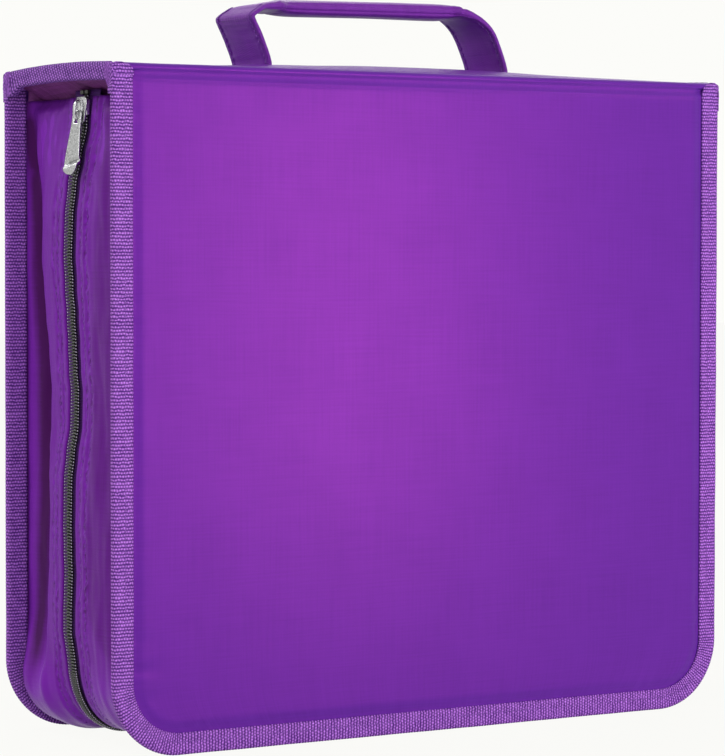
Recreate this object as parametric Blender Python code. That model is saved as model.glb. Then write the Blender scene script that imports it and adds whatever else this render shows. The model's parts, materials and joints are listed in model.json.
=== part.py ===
"""Zipped storage case for discs: two stiff covers hinged on a spine, with a carrying handle on top.

The case stands on the bottom edges of its covers. X runs along the spine, -Y is the front cover's side
and +Z is up. The origin is the middle of the footprint. Sizes below are in millimetres, and each mesh is
scaled to metres when it becomes an object.
"""

import math

import bmesh
import bpy
from mathutils import Matrix, Vector

MM = 0.001

# Overall case
WIDTH = 330.0
DEPTH = 108.0
HEIGHT = 302.0
CORNER_R = 33.0

# Clearances between touching pieces
GAP = 0.3
EDGE_PLAY = 0.7

# Layers of a cover, from the outside in
FABRIC_T = 0.6
BOARD_T = 2.0
LINING_T = 0.5
GUSSET_T = 0.6

# Woven edge binding, a folded tape with a closed outer edge
BINDING_T = 0.8
BINDING_W = 10.0
BINDING_ROUND = 1.1

# Raised middle panel of a cover
PANEL_RISE = 0.7
PANEL_INSET = 14.0
PANEL_SLOPE = 2.0
TOP_SHARE = 0.15

# Round fold between the spine and a cover
FOLD_R = 2.1
FOLD_SIDES = 16

# Spine
DOME_MIDDLE = 5.2
DOME_END = 1.5
DOME_SHIFT = 12.0
PADDING_EDGE_T = 1.1
SPINE_BOARD_INSET = 9.0
LIP_DROP = 8.0
LIP_TOP = 1.0
LIP_INNER_LEG = 2.6
PLEAT_T = 0.5
PLEAT_REACH = 34.0
PLEAT_DEPTH = 20.0

# Gusset and zip
GUSSET_TOP_DROP = 13.0
VALLEY_DEPTH = 5.0
VALLEY_SHARE = 0.55
ZIP_TOP_DROP = 10.0
ZIP_TOP_INSET = 12.3
ZIP_TOP_Y = -7.3
ZIP_LOW_Z = 60.0
ZIP_LOW_INSET = 6.5
ZIP_LOW_Y = -1.0
TAPE_T = 0.5
TAPE_W = 11.1
TAPE_START = 0.9
COIL_W = 2.8
COIL_T = 1.85
COIL_SPLIT = 0.6
GUSSET_SPLIT = 6.5
GUSSET_LAP = 6.0
STOP_L = 2.0

# Zip slider and its pull
SLIDER_DROP = 19.0
SLIDER_L = 12.0
SLIDER_W = 11.0
PLATE_T = 1.0
POST_T = 0.6
BAIL_W = 2.4
BAIL_T = 0.9
BAIL_L = 8.0
BAIL_RISE = 2.6
PULL_L = 29.0
PULL_T = 1.2
PULL_W_TOP = 6.2
PULL_W_END = 9.5
PULL_LEAN_DEG = 8.0
SLOT_W = 3.2
SLOT_L = 5.4

# Handle, a flat strap folded to a tube along its grip
STRAP_W = 34.0
STRAP_T = 2.6
GRIP_W = 16.0
GRIP_T = 7.6
HANDLE_LEFT = -65.0
HANDLE_RIGHT = 65.5
HANDLE_RISE = 32.2
HANDLE_SWAY = 8.2
SLIT_PLAY = 0.5

# Sleeve booklets and the rails that hold them under the spine
BOOKLETS = 4
BOOKLET_T = 10.0
BOOKLET_PLAY = 0.6
BOOKLET_SIDE = 27.0
BOOKLET_BOTTOM = 22.0
HEM_T = 4.4
SHOULDER_H = 9.0
RAIL_W = 9.4
RAIL_H = 7.0
RAIL_SLOT_PLAY = 0.3
RAIL_ROOF = 1.8
RIVET_R = 1.5
RIVET_HEAD_R = 2.2
RIVET_HEAD_T = 0.8
RIVET_END = 38.0

# Mesh steps
ARC_STEPS = 8
SIDE_STEPS = 6
WALL_STEPS = 6
SPINE_STEPS = 12
DOME_STEPS = 10
ROUND_SIDES = 12

# Derived places
HALF_W = WIDTH / 2
HALF_D = DEPTH / 2
FOLD_Y = HALF_D - FOLD_R
FOLD_Z = HEIGHT - FOLD_R
COVER_TOP = HEIGHT - 2 * FOLD_R - GAP
GUSSET_TOP = HEIGHT - GUSSET_TOP_DROP
ZIP_TOP_Z = HEIGHT - ZIP_TOP_DROP
SLIDER_Z = HEIGHT - SLIDER_DROP
FLANGE_V = BINDING_T + GAP
GUSSET_V = FLANGE_V + FABRIC_T + GAP
COVER_T = GUSSET_V + GUSSET_T + GAP + BINDING_T
PANEL_V = FLANGE_V - PANEL_RISE
BOARD_V = PANEL_V + FABRIC_T + GAP
LINING_V = BOARD_V + BOARD_T + GAP
BINDING_HOLE = BINDING_T + GAP
WALL_INSET = BINDING_W + GAP + GUSSET_T
LINING_INSET = WALL_INSET + GAP + EDGE_PLAY
SPINE_HALF_Y = HALF_D - 2 * FOLD_R - EDGE_PLAY
COIL_N = TAPE_T / 2 + GAP
COIL_TOP = COIL_N + COIL_T
GUSSET_N = COIL_N + GUSSET_T / 2
PLATE_IN_N = -(TAPE_T / 2 + GAP)
PLATE_OUT_N = COIL_TOP + GAP
PIVOT_N = PLATE_OUT_N + PLATE_T + PULL_T / 2 + 0.5
PAD_BOTTOM = HEIGHT - FABRIC_T - GAP - PADDING_EDGE_T
SPINE_BOARD_TOP = PAD_BOTTOM - GAP
SPINE_LINING_TOP = SPINE_BOARD_TOP - BOARD_T - GAP
RAIL_TOP = SPINE_LINING_TOP - LINING_T - GAP
BOOKLET_HALF = HALF_W - BOOKLET_SIDE
RAIL_HALF = BOOKLET_HALF - EDGE_PLAY
RIVET_X = BOOKLET_HALF - RIVET_END
SLIDER_LEAN_X = (ZIP_TOP_INSET - ZIP_LOW_INSET) / (ZIP_TOP_Z - ZIP_LOW_Z)
SLIDER_LEAN_Y = (ZIP_TOP_Y - ZIP_LOW_Y) / (ZIP_TOP_Z - ZIP_LOW_Z)

PURPLE = (0.262, 0.036, 0.468)
DEEP_PURPLE = (0.125, 0.022, 0.245)
TAPE_PURPLE = (0.215, 0.062, 0.390)
LINING_GREY = (0.045, 0.045, 0.050)
BOARD_GREY = (0.300, 0.290, 0.280)
COIL_GREY = (0.050, 0.047, 0.055)
STEEL = (0.420, 0.420, 0.430)
SLEEVE_WHITE = (0.720, 0.720, 0.700)
RAIL_BLACK = (0.030, 0.030, 0.032)
FOAM_WHITE = (0.750, 0.750, 0.730)


def clear_scene():
    for obj in list(bpy.data.objects):
        bpy.data.objects.remove(obj, do_unlink=True)


def finish(name, colour, roughness, metallic=0.0):
    """A Principled material of its own for one object."""
    material = bpy.data.materials.new(name + "_finish")
    material.use_nodes = True
    shader = material.node_tree.nodes["Principled BSDF"]
    shader.inputs["Base Color"].default_value = (*colour, 1.0)
    shader.inputs["Roughness"].default_value = roughness
    shader.inputs["Metallic"].default_value = metallic
    return material


def cloth(name, colour=PURPLE):
    return finish(name, colour, 0.75)


def metal(name):
    return finish(name, STEEL, 0.35, 1.0)


def empty_at(name, place, parent=None):
    """An empty on a joint's axis, which carries the pieces that turn or slide there."""
    empty = bpy.data.objects.new(name, None)
    bpy.context.scene.collection.objects.link(empty)
    empty["place"] = list(place)
    origin = Vector(parent["place"]) if parent else Vector((0, 0, 0))
    empty.parent = parent
    empty.location = (Vector(place) - origin) * MM
    return empty


def make_object(name, bm, material, parent=None, closed=True):
    """Turns a bmesh built in case millimetres into an object whose origin is its parent's place."""
    if closed:
        bmesh.ops.recalc_face_normals(bm, faces=bm.faces)
    origin = Vector(parent["place"]) if parent else Vector((0, 0, 0))
    to_metres = Matrix.Scale(MM, 4) @ Matrix.Translation(-origin)
    bmesh.ops.transform(bm, matrix=to_metres, verts=bm.verts)
    mesh = bpy.data.meshes.new(name)
    bm.to_mesh(mesh)
    bm.free()
    mesh.materials.append(material)
    obj = bpy.data.objects.new(name, mesh)
    bpy.context.scene.collection.objects.link(obj)
    obj.parent = parent
    mesh.shade_smooth()
    mesh.set_sharp_from_angle(angle=math.radians(35))
    return obj


def combine(obj, tool, operation):
    """Adds a Boolean with a hidden tool."""
    tool.hide_render = True
    tool.display_type = "WIRE"
    modifier = obj.modifiers.new(operation.lower(), "BOOLEAN")
    modifier.operation = operation
    modifier.solver = "EXACT"
    modifier.object = tool


def thicken(obj, thickness):
    """Gives a sheet its thickness, half to each side of the surface that was drawn."""
    modifier = obj.modifiers.new("thickness", "SOLIDIFY")
    modifier.thickness = thickness * MM
    modifier.offset = 0.0
    modifier.use_even_offset = True
    modifier.use_rim = True


def loft(bm, rings):
    """Joins rings of points, one after the other, and closes both ends."""
    loops = [[bm.verts.new(point) for point in ring] for ring in rings]
    for first, second in zip(loops, loops[1:]):
        for i in range(len(first)):
            j = (i + 1) % len(first)
            bm.faces.new((first[i], first[j], second[j], second[i]))
    bm.faces.new(loops[0][::-1])
    bm.faces.new(loops[-1])


def sheet(bm, rows):
    """A surface through rows of points."""
    grid = [[bm.verts.new(point) for point in row] for row in rows]
    for row, following in zip(grid, grid[1:]):
        for i in range(len(row) - 1):
            bm.faces.new((row[i], row[i + 1], following[i + 1], following[i]))


def add_box(bm, low, high):
    """An upright box between two corners."""
    size = Vector(high) - Vector(low)
    middle = (Vector(high) + Vector(low)) / 2
    shape = Matrix.Translation(middle) @ Matrix.Diagonal((*size, 1.0))
    bmesh.ops.create_cube(bm, size=1.0, matrix=shape)


def add_rod(bm, centre, radius, length, turn=Matrix.Identity(4)):
    """A round rod centred on a point, along Z before it is turned."""
    bmesh.ops.create_cone(
        bm,
        cap_ends=True,
        segments=ROUND_SIDES,
        radius1=radius,
        radius2=radius,
        depth=length,
        matrix=Matrix.Translation(centre) @ turn,
    )


def evenly(first, last, steps):
    return [first + (last - first) * i / steps for i in range(steps + 1)]


def ease(share):
    """A smooth step from 0 to 1."""
    return share * share * (3 - 2 * share)


def round_edge(levels):
    """Stations round the three sewn sides, left top to right top: (point on the edge, outward)."""
    left = [(Vector((-HALF_W, 0, z)), Vector((-1, 0, 0))) for z in levels]
    right = [(Vector((HALF_W, 0, z)), Vector((1, 0, 0))) for z in reversed(levels)]
    corners = []
    for side, start in ((-1, 180), (1, 270)):
        centre = Vector((side * (HALF_W - CORNER_R), 0, CORNER_R))
        for turn in evenly(start, start + 90, ARC_STEPS):
            out = Vector((math.cos(math.radians(turn)), 0, math.sin(math.radians(turn))))
            corners.append((centre + CORNER_R * out, out))
    return left + corners + right


def inboard(station, inset, y):
    """The point that lies inset from a station, at depth y."""
    edge, out = station
    return edge - inset * out + Vector((0, y, 0))


def zip_share(z):
    return max(0.0, min(1.0, (z - ZIP_LOW_Z) / (ZIP_TOP_Z - ZIP_LOW_Z)))


def zip_inset(z):
    return ZIP_LOW_INSET + (ZIP_TOP_INSET - ZIP_LOW_INSET) * zip_share(z)


def zip_y(z):
    return ZIP_LOW_Y + (ZIP_TOP_Y - ZIP_LOW_Y) * zip_share(z)


def dome(x, y):
    """How far the spine's cloth rises over its folds."""
    along = max(-1.0, min(1.0, (x - DOME_SHIFT) / HALF_W))
    rise = DOME_END + (DOME_MIDDLE - DOME_END) * math.cos(along * math.pi / 2) ** 2
    return rise * (1 - (y / FOLD_Y) ** 2)


class Cover:
    """One stiff cover with its binding, its half of the gusset and its half of the zip."""

    def __init__(self, name, side):
        self.name = name
        self.side = side
        self.hinge = empty_at(name + "_hinge", (0, side * FOLD_Y, FOLD_Z))

    def y(self, v):
        """Depth of a layer that lies v inside the cover's outer face."""
        return self.side * (HALF_D - v)

    def outline(self, inset, v, top=COVER_TOP):
        """The closed outline of a cover layer."""
        top_here = top - TOP_SHARE * inset
        return [inboard(station, inset, self.y(v)) for station in round_edge([top_here])]

    def plate(self, piece, layers, material):
        """A flat layer, lofted through (inset, v, top) outlines."""
        bm = bmesh.new()
        loft(bm, [self.outline(*layer) for layer in layers])
        return make_object(f"{self.name}_{piece}", bm, material, self.hinge)

    def fabric(self):
        edge = BINDING_HOLE
        foot = PANEL_INSET - PANEL_SLOPE
        low = FLANGE_V
        self.plate(
            "fabric",
            [
                (PANEL_INSET + GAP, PANEL_V + FABRIC_T),
                (foot + GAP, low + FABRIC_T),
                (edge, low + FABRIC_T),
                (edge, low),
                (foot, low),
                (PANEL_INSET, PANEL_V),
            ],
            cloth(self.name + "_fabric"),
        )

    def board(self):
        inset = PANEL_INSET + GAP + EDGE_PLAY
        top = COVER_TOP - 2 * FABRIC_T
        layers = [(inset, BOARD_V, top), (inset, BOARD_V + BOARD_T, top)]
        self.plate("board", layers, finish(self.name + "_board", BOARD_GREY, 0.6))

    def lining(self):
        top = COVER_TOP - FOLD_R
        layers = [(LINING_INSET, LINING_V, top), (LINING_INSET, LINING_V + LINING_T, top)]
        self.plate("lining", layers, cloth(self.name + "_lining", LINING_GREY))

    def binding(self):
        low, high, leg, curve = BINDING_T, COVER_T - BINDING_T, BINDING_W, BINDING_ROUND
        section = [
            (leg, 0),
            (curve, 0),
            (curve * 0.3, curve * 0.3),
            (0, curve),
            (0, COVER_T - curve),
            (curve * 0.3, COVER_T - curve * 0.3),
            (curve, COVER_T),
            (leg, COVER_T),
            (leg, high),
            (low, high),
            (low, low),
            (leg, low),
        ]
        bm = bmesh.new()
        stations = round_edge([COVER_TOP])
        loft(bm, [[inboard(s, inset, self.y(v)) for inset, v in section] for s in stations])
        name = self.name + "_binding"
        make_object(name, bm, cloth(name, TAPE_PURPLE), self.hinge)

    def wall_section(self, z):
        """Points across the gusset: the sewn flange, the wall, and the lap over the zip tape."""
        middle_v = GUSSET_V + GUSSET_T / 2
        wall_inset = WALL_INSET - GUSSET_T / 2
        end_inset = zip_inset(z) - GUSSET_N
        end_v = HALF_D - self.side * zip_y(z) - GUSSET_SPLIT
        valley = VALLEY_DEPTH * math.sin(math.pi * zip_share(z)) if self.side > 0 else 0.0
        points = [(BINDING_HOLE + GAP, middle_v)]
        for share in evenly(0, 1, WALL_STEPS):
            dip = math.sin(math.pi * min(1.0, share / VALLEY_SHARE)) ** 2
            inset = wall_inset + (end_inset - wall_inset) * ease(share) + valley * dip
            points.append((inset, middle_v + (end_v - GUSSET_LAP - middle_v) * share))
        points.append((end_inset, end_v))
        return points

    def gusset(self):
        bm = bmesh.new()
        rows = []
        for station in round_edge(evenly(GUSSET_TOP, ZIP_LOW_Z, SIDE_STEPS)):
            section = self.wall_section(station[0].z)
            rows.append([inboard(station, inset, self.y(v)) for inset, v in section])
        sheet(bm, rows)
        name = self.name + "_gusset"
        piece = make_object(name, bm, cloth(name, DEEP_PURPLE), self.hinge, False)
        thicken(piece, GUSSET_T)

    def strip(self, piece, section, top, material):
        """A strip along the zip line, from (distance off the middle, height over the tape) points."""
        bm = bmesh.new()
        rings = []
        for station in round_edge([top, ZIP_LOW_Z]):
            z = station[0].z
            middle = zip_y(z)
            rings.append([inboard(station, zip_inset(z) - n, middle + self.side * off) for off, n in section])
        loft(bm, rings)
        make_object(f"{self.name}_{piece}", bm, material, self.hinge)

    def zip_half(self):
        half_t = TAPE_T / 2
        near, far = TAPE_START, TAPE_START + TAPE_W
        tape = [(near, -half_t), (far, -half_t), (far, half_t), (near, half_t)]
        self.strip("zip_tape", tape, ZIP_TOP_Z, cloth(self.name + "_zip_tape", TAPE_PURPLE))
        near, far, slope = COIL_SPLIT, COIL_SPLIT + COIL_W, COIL_T * 0.35
        coil = [
            (near, COIL_N),
            (far, COIL_N),
            (far, COIL_TOP - slope),
            (far - slope, COIL_TOP),
            (near + slope, COIL_TOP),
            (near, COIL_TOP - slope),
        ]
        coil_top = ZIP_TOP_Z - STOP_L - GAP
        self.strip("zip_coil", coil, coil_top, finish(self.name + "_zip_coil", COIL_GREY, 0.5))

    def zip_stops(self):
        """The small metal stop at each end of this half of the chain."""
        z = ZIP_TOP_Z - STOP_L
        for hand, word in ((-1, "left"), (1, "right")):
            x = [hand * (HALF_W - zip_inset(z) + n) for n in (COIL_N, COIL_TOP)]
            y = [zip_y(z) + self.side * off for off in (TAPE_START, COIL_SPLIT + COIL_W)]
            bm = bmesh.new()
            add_box(bm, (min(x), min(y), z), (max(x), max(y), ZIP_TOP_Z))
            bmesh.ops.bevel(bm, geom=bm.edges[:], offset=0.3, affect="EDGES", segments=1, profile=0.5)
            name = f"zip_stop_{self.name}_{word}"
            make_object(name, bm, metal(name), self.hinge)

    def build(self):
        self.fabric()
        self.board()
        self.lining()
        self.binding()
        self.gusset()
        self.zip_half()
        self.zip_stops()


def spine_fabric():
    """The cloth over the spine, with a round fold along each cover and ends turned down."""
    half_t = FABRIC_T / 2
    under_fold = half_t + 0.05
    hang = BINDING_HOLE + half_t
    rows = []
    turned = [
        (hang, -(LIP_DROP - BINDING_HOLE)),
        (hang, -2.2),
        (hang + 0.5, -1.1),
        (hang + 1.3, -under_fold - 0.15),
        (hang + 2.2, -under_fold),
    ]
    flat = evenly(-(HALF_W - hang - 3.0), HALF_W - hang - 3.0, SPINE_STEPS)
    left = [(-(HALF_W - inset), drop, SPINE_HALF_Y) for inset, drop in turned]
    right = [(HALF_W - inset, drop, SPINE_HALF_Y) for inset, drop in reversed(turned)]
    for x, drop, half_y in left + [(x, -under_fold, FOLD_Y) for x in flat] + right:
        columns = evenly(-half_y, half_y, DOME_STEPS)
        rows.append([Vector((x, y, HEIGHT + drop + dome(x, y))) for y in columns])
    bm = bmesh.new()
    sheet(bm, rows)
    piece = make_object("spine_fabric", bm, cloth("spine_fabric"), None, False)
    thicken(piece, FABRIC_T)
    along_x = Matrix.Rotation(math.pi / 2, 4, "Y")
    for side, word in ((-1, "front"), (1, "back")):
        bm = bmesh.new()
        bmesh.ops.create_cone(
            bm,
            cap_ends=True,
            segments=FOLD_SIDES,
            radius1=FOLD_R,
            radius2=FOLD_R,
            depth=WIDTH,
            matrix=Matrix.Translation((0, side * FOLD_Y, FOLD_Z)) @ along_x,
        )
        combine(piece, make_object(f"fold_{word}", bm, cloth("fold_" + word)), "UNION")
    return piece


def spine_padding():
    half_x = HALF_W - SPINE_BOARD_INSET
    rings = []
    crown = HEIGHT - FABRIC_T - 2 * GAP
    columns = evenly(-SPINE_HALF_Y, SPINE_HALF_Y, DOME_STEPS)
    for x in evenly(-half_x, half_x, SPINE_STEPS):
        top = [(x, y, crown + dome(x, y)) for y in columns]
        rings.append([(x, -SPINE_HALF_Y, PAD_BOTTOM), *top, (x, SPINE_HALF_Y, PAD_BOTTOM)])
    bm = bmesh.new()
    loft(bm, rings)
    return make_object("spine_padding", bm, finish("spine_padding", FOAM_WHITE, 0.9))


def spine_plates():
    """The stiff board of the spine and the lining under it, drilled for the rail rivets."""
    half_x = HALF_W - SPINE_BOARD_INSET
    plates = []
    for name, top, thickness, material in (
        ("spine_board", SPINE_BOARD_TOP, BOARD_T, finish("spine_board", BOARD_GREY, 0.6)),
        ("spine_lining", SPINE_LINING_TOP, LINING_T, cloth("spine_lining", LINING_GREY)),
    ):
        bm = bmesh.new()
        add_box(bm, (-half_x, -SPINE_HALF_Y, top - thickness), (half_x, SPINE_HALF_Y, top))
        plates.append(make_object(name, bm, material))
    return plates


def spine_end(hand, word):
    """The hanging end of the spine: its folded binding and the pleat tucked in behind it."""
    inner_bottom = -(LIP_DROP - BINDING_T)
    inner_top = -(LIP_DROP - LIP_INNER_LEG)
    curve = BINDING_ROUND * 0.5
    section = [
        (0, -LIP_TOP),
        (0, curve - LIP_DROP),
        (curve, -LIP_DROP),
        (COVER_T - curve, -LIP_DROP),
        (COVER_T, curve - LIP_DROP),
        (COVER_T, inner_top),
        (COVER_T - BINDING_T, inner_top),
        (COVER_T - BINDING_T, inner_bottom),
        (BINDING_T, inner_bottom),
        (BINDING_T, -LIP_TOP),
    ]
    columns = evenly(-SPINE_HALF_Y, SPINE_HALF_Y, DOME_STEPS)
    edge_x = hand * HALF_W

    def at(inset, drop, y):
        return Vector((edge_x - hand * inset, y, HEIGHT + drop + dome(edge_x, y)))

    bm = bmesh.new()
    loft(bm, [[at(inset, drop, y) for inset, drop in section] for y in columns])
    name = "spine_binding_" + word
    make_object(name, bm, cloth(name, TAPE_PURPLE))

    sewn = GUSSET_V + GUSSET_T / 2
    over = inner_top + GAP + PLEAT_T
    pleat = [
        (sewn, inner_bottom + GAP),
        (sewn, over - GAP),
        (sewn + 1.0, over),
        (COVER_T + 1.2, over - 1.2),
        (PLEAT_DEPTH * 0.4, over - 3.4),
        (PLEAT_DEPTH * 0.65, over - 5.5),
        (PLEAT_DEPTH * 0.83, over - 8.0),
        (PLEAT_DEPTH * 0.93, over - 12.0),
        (PLEAT_DEPTH, -PLEAT_REACH),
    ]
    bm = bmesh.new()
    sheet(bm, [[at(inset, drop, y) for inset, drop in pleat] for y in columns])
    name = "spine_pleat_" + word
    piece = make_object(name, bm, cloth(name, DEEP_PURPLE), None, False)
    thicken(piece, PLEAT_T)


def strap_ring(place, heading, width, thickness):
    """A strap section with its corners cut, square to the way the strap runs."""
    across = Vector((-heading.z, 0, heading.x))
    half_w, half_t = width / 2, thickness / 2
    cut = half_t * 0.7
    corners = [
        (-half_w, cut - half_t),
        (cut - half_w, -half_t),
        (half_w - cut, -half_t),
        (half_w, cut - half_t),
        (half_w, half_t - cut),
        (half_w - cut, half_t),
        (cut - half_w, half_t),
        (-half_w, half_t - cut),
    ]
    return [place + Vector((0, y, 0)) + across * n for y, n in corners]


def handle(fabric, padding):
    """The strap, with both ends let in through slits in the spine's cloth and padding."""
    top = HEIGHT + HANDLE_RISE
    foot = SPINE_BOARD_TOP + GAP
    left, right, sway = HANDLE_LEFT, HANDLE_RIGHT, HANDLE_SWAY
    surface = HEIGHT + DOME_MIDDLE
    grip = (GRIP_W, GRIP_T)
    leg = (STRAP_W, STRAP_T)
    half_way = ((STRAP_W + GRIP_W) / 2, (STRAP_T + GRIP_T) / 2)
    bend = (STRAP_W - 3.0, STRAP_T + 0.8)
    route = [
        (left, foot, leg),
        (left, surface, leg),
        (left - 0.52 * sway, surface + 0.37 * (top - surface), leg),
        (left - sway, top - 7.9, leg),
        (left - 0.97 * sway, top - 5.4, leg),
        (left - 0.67 * sway, top - 2.9, leg),
        (left, top - 1.6, bend),
        (left + 1.2 * sway, top - 1.3, half_way),
        (left + 2.5 * sway, top - 1.3, grip),
        ((left + right) / 2, top - 0.5, grip),
        (right - 3.6 * sway, top, grip),
        (right - 2.6 * sway, top - 0.4, half_way),
        (right - 1.75 * sway, top - 3.2, bend),
        (right - sway, top - 8.6, leg),
        (right - 0.5 * sway, top - 16.0, leg),
        (right, surface, leg),
        (right, foot, leg),
    ]
    points = [Vector((x, 0, z)) for x, z, _ in route]
    rings = []
    for i, (_, _, (width, thickness)) in enumerate(route):
        before = points[max(i - 1, 0)]
        after = points[min(i + 1, len(points) - 1)]
        heading = (after - before).normalized()
        if i in (0, 1):
            heading = Vector((0, 0, 1))
        if i >= len(route) - 2:
            heading = Vector((0, 0, -1))
        rings.append(strap_ring(points[i], heading, width, thickness))
    bm = bmesh.new()
    loft(bm, rings)
    make_object("handle", bm, cloth("handle"))
    for x, word in ((left, "left"), (right, "right")):
        half_x = STRAP_T / 2 + SLIT_PLAY
        half_y = STRAP_W / 2 + SLIT_PLAY
        low, high = PAD_BOTTOM - GAP / 2, HEIGHT + 2 * DOME_MIDDLE
        bm = bmesh.new()
        add_box(bm, (x - half_x, -half_y, low), (x + half_x, half_y, high))
        slit = make_object(f"handle_slit_{word}", bm, cloth("handle_slit_" + word))
        combine(fabric, slit, "DIFFERENCE")
        combine(padding, slit, "DIFFERENCE")


def booklet(number, y):
    """A stack of sleeves with a thin hem along its top, all one block."""
    half_t, half_hem = BOOKLET_T / 2, HEM_T / 2
    hem_top = RAIL_TOP - RAIL_ROOF - RIVET_HEAD_T - GAP
    hem_foot = RAIL_TOP - RAIL_H - GAP
    section = [
        (-half_hem, hem_top),
        (-half_hem, hem_foot),
        (-half_t, hem_foot - SHOULDER_H),
        (-half_t, BOOKLET_BOTTOM),
        (half_t, BOOKLET_BOTTOM),
        (half_t, hem_foot - SHOULDER_H),
        (half_hem, hem_foot),
        (half_hem, hem_top),
    ]
    bm = bmesh.new()
    loft(bm, [[(x, y + off, z) for off, z in section] for x in (-BOOKLET_HALF, BOOKLET_HALF)])
    name = f"booklet_{number}"
    make_object(name, bm, finish(name, SLEEVE_WHITE, 0.6))


def rail_and_rivets(number, y, plates):
    """The channel that grips a booklet's hem, and the rivets that hold it to the spine board."""
    half_w = RAIL_W / 2
    half_slot = HEM_T / 2 + RAIL_SLOT_PLAY
    bottom = RAIL_TOP - RAIL_H
    roof = RAIL_TOP - RAIL_ROOF
    section = [
        (-half_w, RAIL_TOP),
        (-half_w, bottom),
        (-half_slot, bottom),
        (-half_slot, roof),
        (half_slot, roof),
        (half_slot, bottom),
        (half_w, bottom),
        (half_w, RAIL_TOP),
    ]
    bm = bmesh.new()
    loft(bm, [[(x, y + off, z) for off, z in section] for x in (-RAIL_HALF, RAIL_HALF)])
    name = f"booklet_rail_{number}"
    rail = make_object(name, bm, finish(name, RAIL_BLACK, 0.4))
    shank_top = SPINE_BOARD_TOP
    head_top = roof - GAP / 3
    for x, word in ((-RIVET_X, "left"), (RIVET_X, "right")):
        bm = bmesh.new()
        add_rod(bm, (x, y, (RAIL_TOP + shank_top) / 2), RIVET_R + GAP, shank_top - bottom + 2 * RAIL_H)
        hole = make_object(f"rivet_hole_{number}_{word}", bm, metal("rivet_hole"))
        for drilled in (rail, *plates):
            combine(drilled, hole, "DIFFERENCE")
        profile = [
            (RIVET_HEAD_R, head_top - RIVET_HEAD_T),
            (RIVET_HEAD_R, head_top),
            (RIVET_R, head_top),
            (RIVET_R, shank_top),
        ]
        turns = [2 * math.pi * i / ROUND_SIDES for i in range(ROUND_SIDES)]
        bm = bmesh.new()
        loft(bm, [[(x + r * math.cos(a), y + r * math.sin(a), z) for a in turns] for r, z in profile])
        name = f"rail_rivet_{number}_{word}"
        make_object(name, bm, metal(name))


def inside(plates):
    """The sleeve booklets, side by side under the middle of the spine."""
    pitch = BOOKLET_T + BOOKLET_PLAY
    for i in range(BOOKLETS):
        y = (i - (BOOKLETS - 1) / 2) * pitch
        booklet(i + 1, y)
        rail_and_rivets(i + 1, y, plates)


def lean(bm):
    """Slants a piece drawn upright so that it runs along the zip line."""
    slant = Matrix(((1, 0, SLIDER_LEAN_X, 0), (0, 1, SLIDER_LEAN_Y, 0), (0, 0, 1, 0), (0, 0, 0, 1)))
    bmesh.ops.transform(bm, matrix=slant, verts=bm.verts)


def slider_piece(name, bm, material, carrier):
    """Moves a piece drawn round the slider's middle to the slider's place."""
    lean(bm)
    bmesh.ops.translate(bm, vec=Vector(carrier["place"]), verts=bm.verts)
    return make_object(name, bm, material, carrier)


def slider(carrier):
    """The slider: two plates joined by a thin post between the coil rows, with a bail on the outside."""
    half_l, half_w = SLIDER_L / 2, SLIDER_W / 2
    outline = [
        (0.3 * half_w, -half_l),
        (0.62 * half_w, -0.85 * half_l),
        (0.8 * half_w, -0.2 * half_l),
        (half_w, 0.45 * half_l),
        (0.92 * half_w, 0.8 * half_l),
        (0.6 * half_w, half_l),
    ]
    outline += [(-y, z) for y, z in reversed(outline)]
    plates = []
    for name, low in (("zip_slider", PLATE_OUT_N), ("slider_inner_plate", PLATE_IN_N - PLATE_T)):
        bm = bmesh.new()
        loft(bm, [[(-n, y, z) for y, z in outline] for n in (low, low + PLATE_T)])
        plates.append(slider_piece(name, bm, metal(name), carrier))
    body, inner = plates
    bm = bmesh.new()
    low_x, high_x = -(PLATE_OUT_N + PLATE_T / 2), -(PLATE_IN_N - PLATE_T / 2)
    add_box(bm, (low_x, -POST_T / 2, 0.35 * half_l), (high_x, POST_T / 2, 0.9 * half_l))
    combine(body, inner, "UNION")
    combine(body, slider_piece("slider_post", bm, metal("slider_post"), carrier), "UNION")

    foot = PLATE_OUT_N + PLATE_T * 0.6
    crown = PLATE_OUT_N + PLATE_T + BAIL_RISE
    half_b = BAIL_L / 2
    slope = BAIL_T * 1.1
    rise = [(-half_b, foot), (-half_b, crown - slope), (slope - half_b, crown)]
    hole = [
        (-half_b + BAIL_T, foot),
        (-half_b + BAIL_T, crown - slope - BAIL_T * 0.4),
        (-half_b + slope + BAIL_T * 0.4, crown - BAIL_T),
    ]
    arch = rise + [(-z, n) for z, n in reversed(rise)] + [(-z, n) for z, n in hole] + hole[::-1]
    bm = bmesh.new()
    loft(bm, [[(-n, y, z) for z, n in arch] for y in (-BAIL_W / 2, BAIL_W / 2)])
    combine(body, slider_piece("slider_bail", bm, metal("slider_bail"), carrier), "UNION")


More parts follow.
